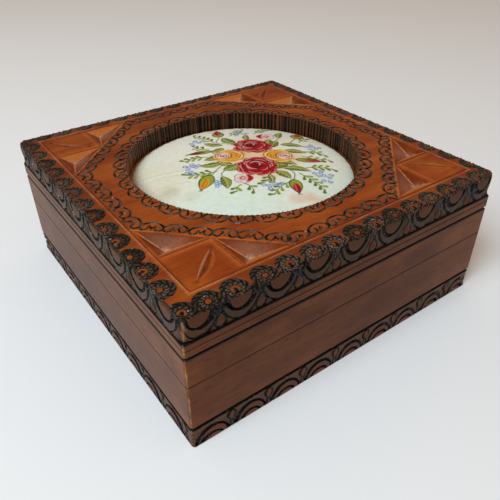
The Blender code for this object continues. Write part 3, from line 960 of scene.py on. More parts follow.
def pit(carving, quarter, swap):
    """A pit of three flat facets, painted with shade and highlight by the way each falls: darker where it
    falls to a side, most to the left, and on its long facet, and paler where it falls to the front or the
    back.
    """
    outline = pit_outline[:, ::-1] if swap else pit_outline
    deepest = pit_deepest[::-1] if swap else pit_deepest
    for vertex in outline:
        carving.crease(turned(deepest + (vertex - deepest) * np.linspace(0, 1, 9)[:, None], quarter))
        for aside in (0.5, -0.5):
            beside = deepest + (vertex - deepest) * np.linspace(0, 1, 17)[:, None] + aside
            carving.follow(turned(beside, quarter), 2)
    grid = np.stack(np.meshgrid(np.arange(31, 77, 1.6), np.arange(31, 77, 1.6)), 2).reshape(-1, 2)
    carving.follow(turned(grid[inside(grid, outline)], quarter), 3)
    loop = np.vstack((outline, outline[:1]))
    sides = []
    for start, end in zip(loop, loop[1:]):
        count = max(2, round(float(np.linalg.norm(end - start)) / 1.2))
        carving.crease(turned(start + (end - start) * np.linspace(0, 1, count)[:, None], quarter))
        heading = (end - start) / np.linalg.norm(end - start)
        normal = np.array([-heading[1], heading[0]])
        depth = normal @ (deepest - start)
        within = start + 0.4 * normal * np.sign(depth)
        carving.follow(turned(within + (end - start) * np.linspace(0.02, 0.98, count)[:, None], quarter), 1)
        downhill = turned(normal * np.sign(depth), quarter)[0]
        sides.append((normal, normal @ start, depth, downhill[0]))
    facing = np.array([side[3] for side in sides])

    def cut(points, field, index):
        # A share is 0 on its side of the outline and 1 at the deepest place, and the lowest gives the depth.
        # across says how far the facet falls toward the right, and is below 0 where it falls to the left.
        drawn = turned(points[index], -quarter)
        shares = np.stack([(drawn @ normal - foot) / depth for normal, foot, depth, _ in sides])
        share = shares.min(0)
        found = share > 0.01
        weight = np.exp(-(shares - share) / 0.015)
        weight /= weight.sum(0)
        across = facing @ weight
        long_share = weight[2]
        order = np.sort(shares, axis=0)
        crease = fade(order[1] - order[0], 0.0, 0.07)
        away = np.linalg.norm(drawn - deepest, axis=1)
        field.depth[index] = np.where(found, pit_depth * share, field.depth[index])
        # The facet is painted darker by the way it faces, most where it falls to the left: painted shade.
        painted_shade = 0.4 * across ** 2 + 0.3 * np.maximum(-across, 0) + 0.25 * long_share
        field.deep[index] = np.where(found, painted_shade * (0.8 + 0.2 * fade(away, 20, 3)), field.deep[index])
        # The facet is painted paler where it falls to the front or the back: a painted highlight.
        lit = 0.55 * np.clip(1 - 2 * across ** 2, 0, 1) + 0.1 * crease
        field.wear_and_highlight[index] = np.where(found, lit, field.wear_and_highlight[index])
        dust_and_sheen = 0.9 * fade(away, 0.4, 3.6) * (0.3 + 0.7 * long_share)
        dust_and_sheen = np.maximum(dust_and_sheen, 0.35 * crease * fade(away, 4, 18))
        dust_and_sheen = np.maximum(dust_and_sheen, 0.2 * fade(away, 3, 16) * long_share) * fade(share, 0.12, 0.0)
        field.dust_and_sheen[index] = np.where(found, dust_and_sheen, field.dust_and_sheen[index])

    bounds = turned(outline, quarter)
    carving.area(bounds.min(0) - 0.1, bounds.max(0) + 0.1, cut)


def corner_leaf(carving, quarter):
    """A leaf in the square: a straight steep cut, and a hollow that rises from it on one side.

    From the far right leaf round by the far left one, the first list says how pale its steep wall is, partly
    dust and partly a painted highlight, and the second how dark its hollow is painted with shade.
    """
    start = np.array([72.7, 74.1])
    ahead = np.array([57.4, 59.4]) - start
    length = np.linalg.norm(ahead)
    ahead /= length
    beside = np.array([ahead[1], -ahead[0]])
    hollow_width = 3.4
    hollow_depth = 1.1
    wall_width = 0.6
    paleness = (0.5, 0.1, 1.0, 0.6)[quarter]
    hollow_shade = (0.5, 0.95, 0.5, 0.5)[quarter]
    share = np.linspace(0, 1, 25)
    line = start + share[:, None] * length * ahead
    bulge = (np.sin(share * math.pi) ** 0.8)[:, None] * beside
    for part in (-wall_width, 0, hollow_width):
        carving.crease(turned((line + bulge * part)[1:-1], quarter))
    for part in (0.35 * hollow_width, 0.7 * hollow_width, 1.2 * hollow_width,
                 -0.5 * wall_width, -2 * wall_width):
        carving.follow(turned(line + bulge * part, quarter), 2)

    def cut(points, field, index):
        drawn = turned(points[index], -quarter)
        along = np.clip((drawn - start) @ ahead / length, 0, 1)
        offset = (drawn - start) @ beside
        wide = hollow_width * np.sin(along * math.pi) ** 0.8 + 1e-3
        depth = hollow_depth * np.minimum(wide / hollow_width, 1)
        share = offset / wide
        hollow = (share >= 0) & (share < 1)
        wall = np.clip(1 + share * hollow_width / wall_width, 0, 1) * (offset < 0)
        field.raise_to("depth", index, depth * np.where(hollow, 1 - share, wall))
        # The ridge of the hollow is painted paler: a painted highlight.
        ridge = fade(np.abs(share - 0.85), 0.05, 0.3)
        field.raise_to("wear_and_highlight", index, 0.4 * ridge * np.minimum(wide / 2, 1))
        # The hollow is painted darker toward its steep wall: painted shade.
        painted_shade = np.where(hollow, hollow_shade * fade(share, 0.3, 0.9), 0)
        field.raise_to("deep", index, painted_shade)
        # The steep wall is painted pale: partly dust and partly a painted highlight.
        pale = fade(np.abs(share * hollow_width / wall_width + 0.6), 0.25, 0.6)
        pale = pale * np.minimum(wide / 1.5, 1) * paleness
        field.raise_to("wear_and_highlight", index, pale)
        field.raise_to("dust_and_sheen", index, 0.9 * pale)

    bounds = turned([(54, 54), (76, 76)], quarter)
    carving.area(bounds.min(0), bounds.max(0), cut)


def corner_lines(carving, quarter):
    """The fine line round the corner's square, with a paler lip inside it, and the paler bevel between its
    pits and the scrolls.
    """
    path = np.array([(square_low, square_high), (square_low, square_low), (square_high, square_low)])
    share = np.linspace(0, 1, 30)[:, None]
    dense = np.vstack((path[0] + (path[1] - path[0]) * share[:-1], path[1] + (path[2] - path[1]) * share))
    carving.stroke(turned(dense, quarter), 0.3, 0.3, scorch=0.12)
    for low in (square_low - 0.6, square_low + 0.7):
        for spots in ([(low, along) for along in np.arange(low, square_high - 0.1, 0.9)],
                      [(along, low) for along in np.arange(low, square_high - 0.1, 0.9)]):
            carving.follow(turned(spots, quarter), 3)
    ends = np.array([(bevel_end, bevel_line - bevel_end), (bevel_line - bevel_end, bevel_end)])
    for aside in (-0.6, -0.2, 0.3):
        spots = ends[0] + (ends[1] - ends[0]) * np.linspace(0, 1, 70)[:, None] + aside
        carving.follow(turned(spots, quarter), 2)

    def tone_shift(points, field, index):
        drawn = turned(points[index], -quarter)
        within = drawn.max(1) < bevel_end
        bevel = fade(np.abs(drawn.sum(1) - bevel_line + 0.3) / math.sqrt(2), 0.25, 0.5) * within
        patchy = 0.75 + 0.25 * wander(drawn[:, 0], 30, 41 + quarter)
        field.raise_to("wear_and_highlight", index, 0.8 * bevel * patchy)
        field.raise_to("depth", index, 0.2 * bevel)
        lip = fade(np.abs(drawn - square_low - 0.65).min(1), 0.2, 0.5) * (drawn.min(1) > square_low)
        field.raise_to("wear_and_highlight", index, 0.35 * lip * within)

    bounds = turned([(28, 28), (77.2, 77.2)], quarter)
    carving.area(bounds.min(0), bounds.max(0), tone_shift)


def frame_lines(carving):
    """The groove inside the wheels, painted darker within, a painted shade, and a little darker outward of
    its lip, with that lip made paler and greyer.
    """
    along = np.linspace(-frame_reach, frame_reach, 130)
    near_side = np.column_stack((along, np.full(len(along), -frame_reach)))
    for side in range(4):
        carving.stroke(turned(near_side, side), 0.5, 0.45, scorch=0.1)

    def tone_shift(points, field, index):
        reach = np.abs(points[index]).max(1)
        lip = fade(np.abs(reach - frame_reach - 1.0), 0.15, 0.55)
        paleness = 0.5 + 0.5 * wander(points[index].sum(1), 40, 51)
        field.raise_to("wear_and_highlight", index, (0.2 + 0.3 * paleness) * lip)
        field.raise_to("dust_and_sheen", index, (0.1 + 0.2 * paleness) * lip)
        # Painted shade in the groove, and a little darker outward of its lip.
        painted_shade = np.maximum(0.5 * fade(np.abs(reach - frame_reach), 0.3, 0.7),
                           0.26 * fade(reach, frame_reach + 2.2, frame_reach + 1.3))
        field.raise_to("deep", index, painted_shade)

    carving.area((-90, -90), (90, 90), tone_shift)
    for out in (0.7, 1.0, 1.3, 1.7, 2.2):
        carving.follow(ring_points(frame_reach + out, 1.5), 2)
    carving.follow(ring_points(frame_reach - 0.9, 1.8), 3)


sink_round_edge(lid_carving)
for quarter in range(4):
    corner_lines(lid_carving, quarter)
frame_lines(lid_carving)
for quarter in range(4):
    pit(lid_carving, quarter, False)
    pit(lid_carving, quarter, True)
    corner_leaf(lid_carving, quarter)
scroll_rings(lid_carving)
for side, middles in festoon_middles.items():
    festoon_row(lid_carving, lid_net, side, middles)
wheel_rows(lid_carving)

# The fluted wall of the recess. Each flute is a cut of a small gouge, a little off its place and its depth.
flute_count = 169
flute_steps = 6
recess_radius = 58.2
flute_bite = draw.uniform(0.35, 0.65, flute_count)
flute_shift = draw.normal(0, 0.08, flute_count)
flute_place = np.arange(flute_count * flute_steps)
flute = flute_place // flute_steps
flute_share = (flute_place % flute_steps) / flute_steps
flute_middle_shift = flute_shift[flute] * np.sin(flute_share * math.pi)
rim_turns = (flute + flute_share + flute_middle_shift) * whole_turn / flute_count


def scooped(share):
    """How hollow a flute is at a share of its width: 0 on its ridges and 1 in its middle."""
    return np.sin(share * math.pi) ** 0.7


def rim_ring(bite_share):
    """The flutes' outline, with a share of the gouge's bite."""
    return (recess_radius + flute_bite[flute] * flute_hollow * bite_share)[:, None] * circle(rim_turns)


def scorch_rim(points, field, index):
    """Burns the board's top round the recess, less beside the flutes' ridges."""
    x, y = points[index].T
    away = np.hypot(x, y) - recess_radius
    ridge = 1 - scooped(np.arctan2(y, x) / whole_turn * flute_count % 1)
    burnt = fade(away, 0.2, 0.9) * (1 - 0.7 * ridge)
    field.raise_to("scorch", index, burnt)


flute_hollow = scooped(flute_share)
rim_loop = rim_ring(1.0)
lid_carving.area((-60, -60), (60, 60), scorch_rim)
lid_carving.follow(rim_loop * 1.006, 2)

# Points between the motifs, so that the board bends evenly
for reach in lid_net.reach[1:-1]:
    lid_carving.follow(ring_points(reach, 1.6), 3)
for down in (3.6, 4.6, 6.0, 7.6, 9.2, 10.6, 11.4):
    lid_carving.follow(ring_points(lid_net.edge + down, 1.6), 3)
for reach in np.arange(3, 84, 3):
    lid_carving.follow(ring_points(reach, 3.0), 3)
lid_foot = ring_points(lid_net.reach[-1], 1.5)
lid_points, lid_faces = triangulate(lid_carving, [rim_loop, lid_foot])

# The triangles inside the recess go, and the points that only they used.
x, y = lid_points[lid_faces].mean(1).T
rim_radius = np.interp(np.arctan2(y, x) % whole_turn, rim_turns, np.linalg.norm(rim_loop, axis=1),
                       period=whole_turn)
lid_faces = lid_faces[np.hypot(x, y) > rim_radius]
used, lid_faces = np.unique(lid_faces, return_inverse=True)
lid_faces = lid_faces.reshape(-1, 3)
lid_points = lid_points[used]

# What is carved, and then the wear of the upright corners, the stain of the sides, and painted shade toward
# the far side and the left
carved = lid_carving.work(lid_points)
reach = np.abs(lid_points).max(1)
carved.depth *= fade(reach, lid_net.reach[-2] - 0.5, lid_net.reach[-2])
carved.scorch = np.maximum(carved.scorch, fade(reach, lid_net.reach[-2] + 0.1, lid_net.reach[-2] - 0.4))
corner_wear = fade(np.abs(np.abs(lid_points[:, 0]) - np.abs(lid_points[:, 1])), 0.3, 1.5)
corner_wear *= fade(reach, lid_net.edge + 4.0, lid_net.edge + 2.6)
carved.wear_and_highlight = np.maximum(carved.wear_and_highlight, 0.5 * corner_wear)
carved.dust_and_sheen = np.maximum(carved.dust_and_sheen, 0.2 * corner_wear)
carved.scorch *= 1 - 0.6 * corner_wear
side_stain = fade(reach, lid_net.edge + 0.6, lid_net.edge - 0.6)
carved.deep = np.maximum(carved.deep, 0.95 * side_stain)
carved.scorch = np.maximum(carved.scorch, 0.3 * side_stain * (1 - corner_wear))
x, y = lid_points.T
in_corner = fade(np.abs(x) + np.abs(y), bevel_line + 0.5, bevel_line - 1)
# Painted shade, darker toward the far side and the left, less in the corners.
far_left_painted_shade = 0.16 * fade(y, 80, 0) + 0.16 * (fade(y, 80, 30) + fade(x, -80, -30)) * (1 - in_corner)
carved.deep += far_left_painted_shade * (1 - side_stain) * (1 - carved.deep)
places = lid_net.fold(lid_points, carved.depth)
finish = carved.finish()
foot_loop = close_loop(lid_points, reach > lid_net.reach[-1] - 1e-3)
rim_index = [int(np.argmin(((lid_points - p) ** 2).sum(1))) for p in rim_loop]

# The recess's wall: burnt black in streaks. On its left, where light would fall, its ridges are painted
# paler and less burnt, a painted highlight. Its rows go from the rim down, each with its depth and its
# share of the gouge's bite.
recess_depth = 9.8
wall_rows = ((0.7, 0.95), (2.0, 0.9), (4.0, 0.85), (6.0, 0.8), (8.0, 0.8), (recess_depth, 0.8))
left_turn = 2.6
count = len(rim_loop)
streaks = draw.normal(0.95, 0.1, count)
missed = draw.uniform(0, 1, count) < 0.14
streaks = np.clip(streaks - missed * draw.uniform(0.2, 0.7, count), 0, 1)
# Toward the left, where light would fall, the ridges are painted paler and less burnt: a painted highlight.
left_ridge_light = fade(np.abs(rim_turns - left_turn), 0.25, 0.9)
ridge_char = draw.uniform(0.0, 0.95, flute_count)[flute] ** 1.3 * (1 - 0.8 * left_ridge_light)
ridge_highlight = left_ridge_light * (1 - flute_hollow) ** 0.5
hollow_char = np.where(left_ridge_light > 0.3, flute_hollow ** 0.5, flute_hollow)
burnt = np.minimum(ridge_char + (1 - ridge_char) * hollow_char, streaks)
wall_finish = np.column_stack((burnt, ridge_highlight, 0.3 * (1 - left_ridge_light), 0.1 * ridge_highlight))
faces = [tuple(f) for f in lid_faces]
above = rim_index
for depth, bite in wall_rows:
    start = len(places)
    ring = np.column_stack((rim_ring(bite), np.full(count, lid_board_high - depth)))
    places = np.vstack((places, ring * mm))
    finish = np.vstack((finish, wall_finish))
    below = list(range(start, start + count))
    faces += [(above[i], above[(i + 1) % count], below[(i + 1) % count], below[i]) for i in range(count)]
    above = below
faces += [tuple(above), tuple(foot_loop[::-1])]
lid_board = mesh_object("lid_board_carved", places, faces, 42, finish)

# The same stain as the bottom board's, under a thinner coat of lacquer
lid_linden = stained_linden("lid_linden", 0, board_colours, 0.05)
dress(lid_board, lid_linden, "carved_wood", "lid_board")

# The cloth picture
#
# A thin foam pad under a round of off-white plain cotton, tucked in at its edge and glued in the recess. The
# bouquet of crimson and yellow roses is printed. The cotton has aged a little and puckers at one side.


class Print:
    """A printed picture: colours laid one over another on points of a cloth."""

    def __init__(self, points, ground):
        self.points = points
        self.colour = np.tile(np.array(linear(ground)[:3]), (len(points), 1))

    def lay(self, index, amount, colour):
        """Lays a colour over some points, more or less thickly."""
        ink = np.array(linear(colour)[:3])
        self.colour[index] += np.asarray(amount)[:, None] * (ink - self.colour[index])

    def within(self, low, high):
        """The points between two corners."""
        return np.flatnonzero(((self.points > low) & (self.points < high)).all(1))

    def patch(self, outline, colour, strength=1.0, fade_from=None, soft=0.3):
        """Fills a closed outline. The ink fades from a place along a direction if fade_from gives them."""
        index = self.within(outline.min(0) - soft, outline.max(0) + soft)
        points = self.points[index]
        loop = np.vstack((outline, outline[:1]))
        away = near_path(points, loop)[0] * np.where(inside(points, outline), -1, 1)
        amount = np.clip(0.5 - away / soft, 0, 1) * strength
        if fade_from is not None:
            place, direction, reach = fade_from
            amount = amount * fade((points - place) @ direction, 0, reach)
        self.lay(index, amount, colour)

    def line(self, path, width, colour, strength=1.0, soft=0.25):
        """Paints a brush line whose width may change along it."""
        width = np.broadcast_to(width, len(path)).astype(float)
        index = self.within(path.min(0) - width.max(), path.max(0) + width.max())
        away, place = near_path(self.points[index], path)
        half = np.interp(place, np.arange(len(path)), width) / 2
        self.lay(index, np.clip(0.5 + (half - away) / soft, 0, 1) * strength, colour)

    def wash(self, centre, reach, colour, strength):
        """Paints a soft round stain."""
        index = self.within(np.array(centre) - reach, np.array(centre) + reach)
        away = np.linalg.norm(self.points[index] - centre, axis=1)
        self.lay(index, strength * fade(away, reach * 0.2, reach), colour)


def petal(picture, root, turn, length, width, inks, point=0.0):
    """A petal from its root outward, round or drawn to a point, shaded at its root, with a light rim."""
    fill, shade, rim = inks
    ahead = toward(turn)
    beside = np.array([-ahead[1], ahead[0]])
    turns = np.linspace(0, whole_turn, 26, endpoint=False)
    share = 0.5 + 0.5 * np.cos(turns)
    along = length * share * (1 - 0.08 * (1 - point) * np.exp(-(np.sin(turns / 2) / 0.2) ** 2))
    across = width / 2 * np.sin(turns) * (1 + 0.12 * np.cos(turns)) * (1 - point * share ** 2)
    outline = root + along[:, None] * ahead + across[:, None] * beside
    picture.patch(outline, fill)
    picture.patch(outline, shade, 0.9, (root, ahead, length * 0.7))
    picture.line(outline[np.arange(-8, 9)], 0.42, shade, 0.55)
    turns = np.linspace(-1.0, 1.0, 9)
    along = length * (0.48 + 0.42 * np.cos(turns))
    across = width * 0.42 * (1 - 0.5 * point) * np.sin(turns)
    light = root + along[:, None] * ahead + across[:, None] * beside
    picture.line(light, 0.2 + 0.4 * np.cos(turns * 1.4) ** 2, rim, 0.8)


def ring_stroke(picture, centre, reach, start, spread, width, ink):
    """A brush stroke on a ring, thin at both ends."""
    share = np.linspace(0, 1, 10)
    path = centre + reach * circle(start + spread * share)
    picture.line(path, width * (0.35 + 0.65 * np.sin(math.pi * share)), ink, 0.95)


def full_rose(picture, centre, radius, turn):
    """A crimson rose seen from a little below: pointed petals at its sides, broad ones in front, a heart."""
    centre = np.array(centre)
    inks = ("#B80C18", "#5A0209", "#F4B4AC")
    for angle, root, length, width, point in (
            (1.1, 0.1, 0.92, 0.95, 0.0), (2.1, 0.1, 0.95, 0.95, 0.0),
            (0.2, 0.15, 1.0, 0.75, 0.7), (2.95, 0.15, 1.0, 0.75, 0.7),
            (-0.55, 0.1, 1.0, 0.8, 0.4), (3.75, 0.1, 1.0, 0.8, 0.4),
            (-1.1, 0.1, 0.95, 0.9, 0.1), (-2.0, 0.1, 0.95, 0.9, 0.1),
            (1.57, 0.0, 0.72, 0.9, 0.0), (0.4, 0.05, 0.7, 0.7, 0.2),
            (2.7, 0.05, 0.7, 0.7, 0.2), (-1.57, 0.02, 0.8, 1.0, 0.2),
            (-0.6, 0.0, 0.6, 0.6, 0.0), (-2.5, 0.0, 0.6, 0.6, 0.0),
            (1.2, 0.0, 0.5, 0.6, 0.0), (2.2, 0.0, 0.5, 0.6, 0.0)):
        angle += turn + draw.normal(0, 0.08)
        petal(picture, centre + radius * root * toward(angle), angle,
              radius * length * draw.uniform(0.92, 1.06), radius * width, inks, point)
    heart = centre + 0.16 * radius * toward(turn + 2.2)
    for reach, start, spread, width, ink in (
            (0.42, 0.3, 2.4, 0.8, "#56020B"), (0.46, 3.1, 1.8, 0.7, "#F4BCB4"),
            (0.33, 3.6, 2.6, 0.8, "#56020B"), (0.3, 0.6, 2.0, 0.7, "#F4BCB4"),
            (0.2, 1.8, 3.0, 0.7, "#4A0209"), (0.18, -0.6, 1.8, 0.55, "#F6C8C0"),
            (0.08, 0.0, 5.0, 0.6, "#3E0208")):
        ring_stroke(picture, heart, radius * reach, turn + start, spread, width, ink)
    for _ in range(7):
        reach = radius * draw.uniform(0.55, 0.85)
        start = draw.uniform(0, whole_turn)
        ring_stroke(picture, centre, reach - 0.6, start, 0.6, 0.7, "#5A020C")
        ring_stroke(picture, centre, reach, start + 0.05, draw.uniform(0.4, 0.7), 0.55, "#F2B0A8")


def open_rose(picture, centre, radius, turn):
    """A yellow rose seen from the side: a cup of broad petals edged in crimson, and a pale heart."""
    centre = np.array(centre)
    ahead = toward(turn)
    inks = ("#F5B63A", "#E8942A", "#FCEFC8")
    for angle, root, length, width in (
            (math.pi, 0.0, 0.98, 1.15), (2.2, 0.0, 0.95, 0.9), (-2.2, 0.0, 0.95, 0.9),
            (1.1, 0.0, 0.98, 0.9), (-1.1, 0.0, 0.98, 0.9), (0.0, 0.3, 0.7, 0.98)):
        petal(picture, centre + radius * root * toward(turn + angle), turn + angle, radius * length,
              radius * width, inks)
    cup = centre - 0.12 * radius * ahead
    for reach, start, spread, width, ink in (
            (0.72, 1.0, 4.3, 0.55, "#8A1020"), (0.5, 1.9, 1.5, 0.5, "#A83A1E"),
            (0.42, 3.6, 1.5, 0.5, "#A83A1E"), (0.62, 2.2, 1.2, 0.8, "#FCEBC0"),
            (0.6, 3.7, 1.1, 0.8, "#FCEBC0"), (0.3, 2.4, 2.0, 0.9, "#D9701A")):
        ring_stroke(picture, cup, radius * reach, turn + start, spread, width, ink)
    heart = centre + ahead * radius * 0.4
    turns = np.linspace(0, whole_turn, 24, endpoint=False)
    picture.patch(heart + circle(turns) * radius * 0.44, "#F6E0D4")
    for reach, start, spread, width in (
            (0.5, 1.9, 2.2, 0.7), (0.46, -1.4, 2.6, 0.7), (0.36, 1.0, 2.8, 0.7), (0.3, -1.6, 2.2, 0.8),
            (0.22, 1.8, 2.6, 0.7), (0.15, -1.0, 3.0, 0.8), (0.07, 0.0, 5.0, 0.9)):
        ring_stroke(picture, heart, radius * reach, turn + start, spread, width, "#AE1226")


def small_rose(picture, centre, radius, turn):
    """A half-open pink rose with a crimson fold on one side, its petals edged in crimson."""
    centre = np.array(centre)
    inks = ("#F7E4DC", "#E49A98", "#FBF1EA")
    for i in range(5):
        angle = turn + i * whole_turn / 5
        petal(picture, centre + radius * 0.1 * toward(angle), angle, radius * 0.9, radius * 1.0, inks)
        ring_stroke(picture, centre + radius * 0.45 * toward(angle), radius * 0.5, angle - 1.1, 2.2, 0.4,
                    "#A8283A")
    fold = centre + radius * 0.68 * circle(np.linspace(-1.1, 1.1, 10) + turn)
    picture.line(fold, 2.5 * np.cos(np.linspace(-1.3, 1.3, 10)), "#B40E20")
    for reach, start, spread in ((0.3, 0.8, 3.4), (0.15, 3.6, 3.0)):
        ring_stroke(picture, centre, radius * reach, turn + start, spread, 0.7, "#B41A30")


def straight_axis(base, tip):
    """The straight line from a base to a tip: its length, and the directions along it and to its left."""
    ahead = np.array(tip, float) - np.array(base, float)
    length = float(np.linalg.norm(ahead))
    ahead /= length
    return length, ahead, np.array([-ahead[1], ahead[0]])


def blade(picture, spine, half, beside, ink):
    """Fills a shape on both sides of its spine, and gives its left and its right edge."""
    left = spine + half[:, None] * beside
    right = spine - half[:, None] * beside
    picture.patch(np.vstack((left, right[::-1])), ink)
    return left, right


def leaf(picture, base, tip, width):
    """A pointed leaf with one half in shade, dark edges, a pale midrib and fine side veins."""
    length, ahead, beside = straight_axis(base, tip)
    share = np.linspace(0, 1, 12)
    half = width / 2 * np.sin(math.pi * share ** 0.85) ** 0.9 * (1 + 0.06 * np.sin(share * 19))
    bend = 0.08 * length * np.sin(math.pi * share)
    spine = base + (share * length)[:, None] * ahead + bend[:, None] * beside
    left, right = blade(picture, spine, half, beside, "#98A036")
    picture.patch(np.vstack((spine, right[::-1])), "#5C6A1C", 0.8)
    for i in (2, 4, 6, 8):
        for edge in (left, right):
            vein = np.array([spine[i], spine[i] + (edge[i + 2] - spine[i]) * 0.85])
            picture.line(vein + 0.3 * ahead, 0.3, "#3A4014", 0.6)
            picture.line(vein, 0.25, "#D6D684", 0.75)
    for edge in (left, right):
        picture.line(edge, 0.42, "#2E3610", 0.85)
    picture.line(spine, 0.4, "#DCDA8C", 0.9)


def bud(picture, base, tip, width, inks):
    """A bud in its green calyx, whose tips stand out beyond the petals."""
    length, ahead, beside = straight_axis(base, tip)
    share = np.linspace(0, 1, 12)
    half = width / 2 * np.sin(math.pi * share ** 0.75) ** 0.85
    spine = base + (share * length)[:, None] * ahead
    left, right = blade(picture, spine, half, beside, "#9AAA34")
    picture.line(left, 0.6, "#3C4A14", 0.9)
    picture.line(right, 0.8, "#2E3A10", 0.9)
    share = np.linspace(0.25, 1.0, 9)
    half = width * 0.3 * np.sin(math.pi * (share - 0.25) / 0.75) ** 0.8
    spine = base + (share * length)[:, None] * ahead
    blade(picture, spine, half, beside, inks[0])
    picture.line(spine[1:7] - half[1:7, None] * 0.35 * beside, 0.7, inks[1], 0.9)
    picture.line(spine[2:8] + half[2:8, None] * 0.45 * beside, 0.4, "#6A0A12", 0.7)
    for lean in (-0.6, 0.0, 0.7):
        end = tip + ahead * 1.3 + beside * lean * 1.5
        picture.line(np.array([tip - ahead * 0.8, end]), 0.4, "#4A4420", 0.85)


def sprig(picture, base, tip, bend):
    """A thin stem with pairs of small leaves."""
    length, ahead, beside = straight_axis(base, tip)
    share = np.linspace(0, 1, 9)
    stem = base + (share * length)[:, None] * ahead + (bend * np.sin(math.pi * share))[:, None] * beside
    picture.line(stem, np.linspace(0.75, 0.5, 9), "#7C8A26", 1.0)
    leaf_reach = 3.4
    leaf_width = np.array([0.5, 1.2, 2.0])
    count = max(2, round(length / leaf_reach))
    for i in range(count):
        at = (i + 0.8) / count
        root = np.array([np.interp(at, share, stem[:, 0]), np.interp(at, share, stem[:, 1])])
        for lean, ink in ((-1, "#6E7E20"), (1, "#98A630")):
            if i == count - 1 and lean == 1:
                continue
            out = ahead * math.cos(0.75 * lean) + beside * math.sin(0.75 * lean)
            reach = leaf_reach * (1 - 0.2 * at) * draw.uniform(0.85, 1.1)
            picture.line(np.array([root, root + out * reach * 0.5, root + out * reach]), leaf_width, ink, 1.0)


def forget_me_nots(picture, centre, spread, count):
    """A spray of blue flowers, five dots each."""
    ring = circle(np.linspace(0, whole_turn, 8, endpoint=False))
    for i in range(count):
        turn = i * 2.4 + draw.uniform(0, 0.8)
        place = np.array(centre) + toward(turn) * spread * math.sqrt((i + 0.3) / count)
        first = draw.uniform(0, whole_turn)
        for k in range(5):
            dot = place + toward(first + k * whole_turn / 5) * 1.0
            picture.patch(dot + 0.6 * ring, "#9CB2DE" if k % 2 else "#7590CC", 0.95)
        picture.wash(place, 0.6, "#F4EEC4", 0.9)


pad_low, pad_high = (corner.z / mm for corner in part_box("cloth_pad"))
pad_radius = 56.9
pad_crown = 4.8
pad_roll = 0.75
roll_width = 6
print_step = 0.385
hem_count = 900

# A lattice of even triangles, fine enough for the print, inside the hem
columns = np.arange(-pad_radius, pad_radius, print_step)
rows = np.arange(-pad_radius, pad_radius, print_step * math.sqrt(3) / 2)
lattice = np.stack(np.meshgrid(columns, rows), 2)
lattice[1::2, :, 0] += print_step / 2
lattice = lattice.reshape(-1, 2)
lattice = lattice[np.linalg.norm(lattice, axis=1) < pad_radius - print_step * 0.8]
hem = pad_radius * circle(np.linspace(0, whole_turn, hem_count, endpoint=False))
hem_edges = [(len(lattice) + i, len(lattice) + (i + 1) % hem_count) for i in range(hem_count)]
spots = [Vector(p) for p in np.vstack((lattice, hem))]
places, _, pad_faces, *_ = delaunay_2d_cdt(spots, hem_edges, [], 1, 1e-5)
pad_points = np.array([(p.x, p.y) for p in places])


def pad_height(points):
    """The dome of the pad, rolled down at its edge, with faint puckers and two soft creases on its left."""
    radius = np.linalg.norm(points, axis=1)
    turn = np.arctan2(points[:, 1], points[:, 0])
    edge = np.clip((radius - (pad_radius - roll_width)) / roll_width, 0, 1)
    roll = pad_roll * edge ** 4
    pucker = 0.09 * edge ** 1.5 * (np.sin(turn * 61 + 2 * np.sin(turn * 7)) + 0.6 * np.sin(turn * 37 + 1.3))
    height = pad_high - 0.15 - pad_crown * (radius / pad_radius) ** 2 - roll + pucker
    for path, lift in ((((-51, 19), (-40, 17), (-28, 11)), 0.22), (((-53, 3), (-42, 4), (-33, 0)), 0.16)):
        away = near_path(points, smooth_path(path, 1.5))[0]
        height += lift * np.exp(-(away / 1.1) ** 2) - lift * 0.6 * np.exp(-((away - 2.0) / 1.2) ** 2)
    return height


# The print, from the ground up: the cloth's uneven tone, whose two large cool washes on the near side are a
# painted reflection, a peach glow behind the bouquet, stems, sprays and leaves, and the flowers over them
picture = Print(pad_points, "#FAF6E6")
for centre, reach, ink, strength in (
        ((-28, -30), 42, "#EAF8EA", 0.8), ((20, -42), 30, "#ECF8E8", 0.6), ((-45, 12), 32, "#F0E6CE", 0.7),
        ((40, 25), 30, "#F0E8D2", 0.6), ((-44, -1), 8, "#CCC29C", 0.5), ((-38, -12), 6, "#D4CCAA", 0.35),
        ((1, -42), 6, "#F2BE9A", 0.5), ((7, -44), 6, "#F2BE9A", 0.6), ((10, -49), 5, "#F0C0A0", 0.45),
        ((14, 52), 7, "#EDBC98", 0.6), ((52, 2), 7, "#D9CDA4", 0.35)):
    picture.wash(centre, reach, ink, strength)
for centre, reach in (((10, 3), 18), ((18, 17), 15), ((4, -12), 16), ((-4, 9), 14), ((22, -7), 14)):
    picture.wash(centre, reach, "#F8C48A", 0.75)
for path in (
        ((8, 24), (4, 31), (9.5, 37)), ((-6, 5), (-14, 2), (-20.5, -2)), ((14, -16), (15, -23), (10, -29)),
        ((34, 4), (40, 9), (45, 12)), ((-5, 16), (-6, 20), (-7, 23)), ((24, -10), (27, -13), (30, -15)),
        ((-8, -1), (-15, -3), (-17, -7)), ((26, 16), (32, 14), (37, 17)), ((34, -3), (37, -8), (42, -10))):
    picture.line(smooth_path(path, 1.0), 0.6, "#5B6426", 0.9)
for base, tip, bend in (
        ((3, 32), (0, 50), -1.5), ((16, 36), (27, 43), -1), ((30, 31), (42, 34), 1), ((43, 6), (54, 10), 1),
        ((36, -6), (44, -14), 1.5), ((17, -25), (18, -43), 1), ((8, -29), (-6, -34), -1.5),
        ((24, -22), (36, -29), 1.2), ((-12, -18), (-12, -26), 1), ((-14, -18), (-19, -22), -1),
        ((-16, 0), (-30, 7), 1.5), ((-11, 17), (-23, 21), -1), ((31, -10), (42, -20), -1.5),
        ((-5, 25), (-9, 35), 1.2), ((4, -18), (-4, -23), 1)):
    sprig(picture, base, tip, bend)
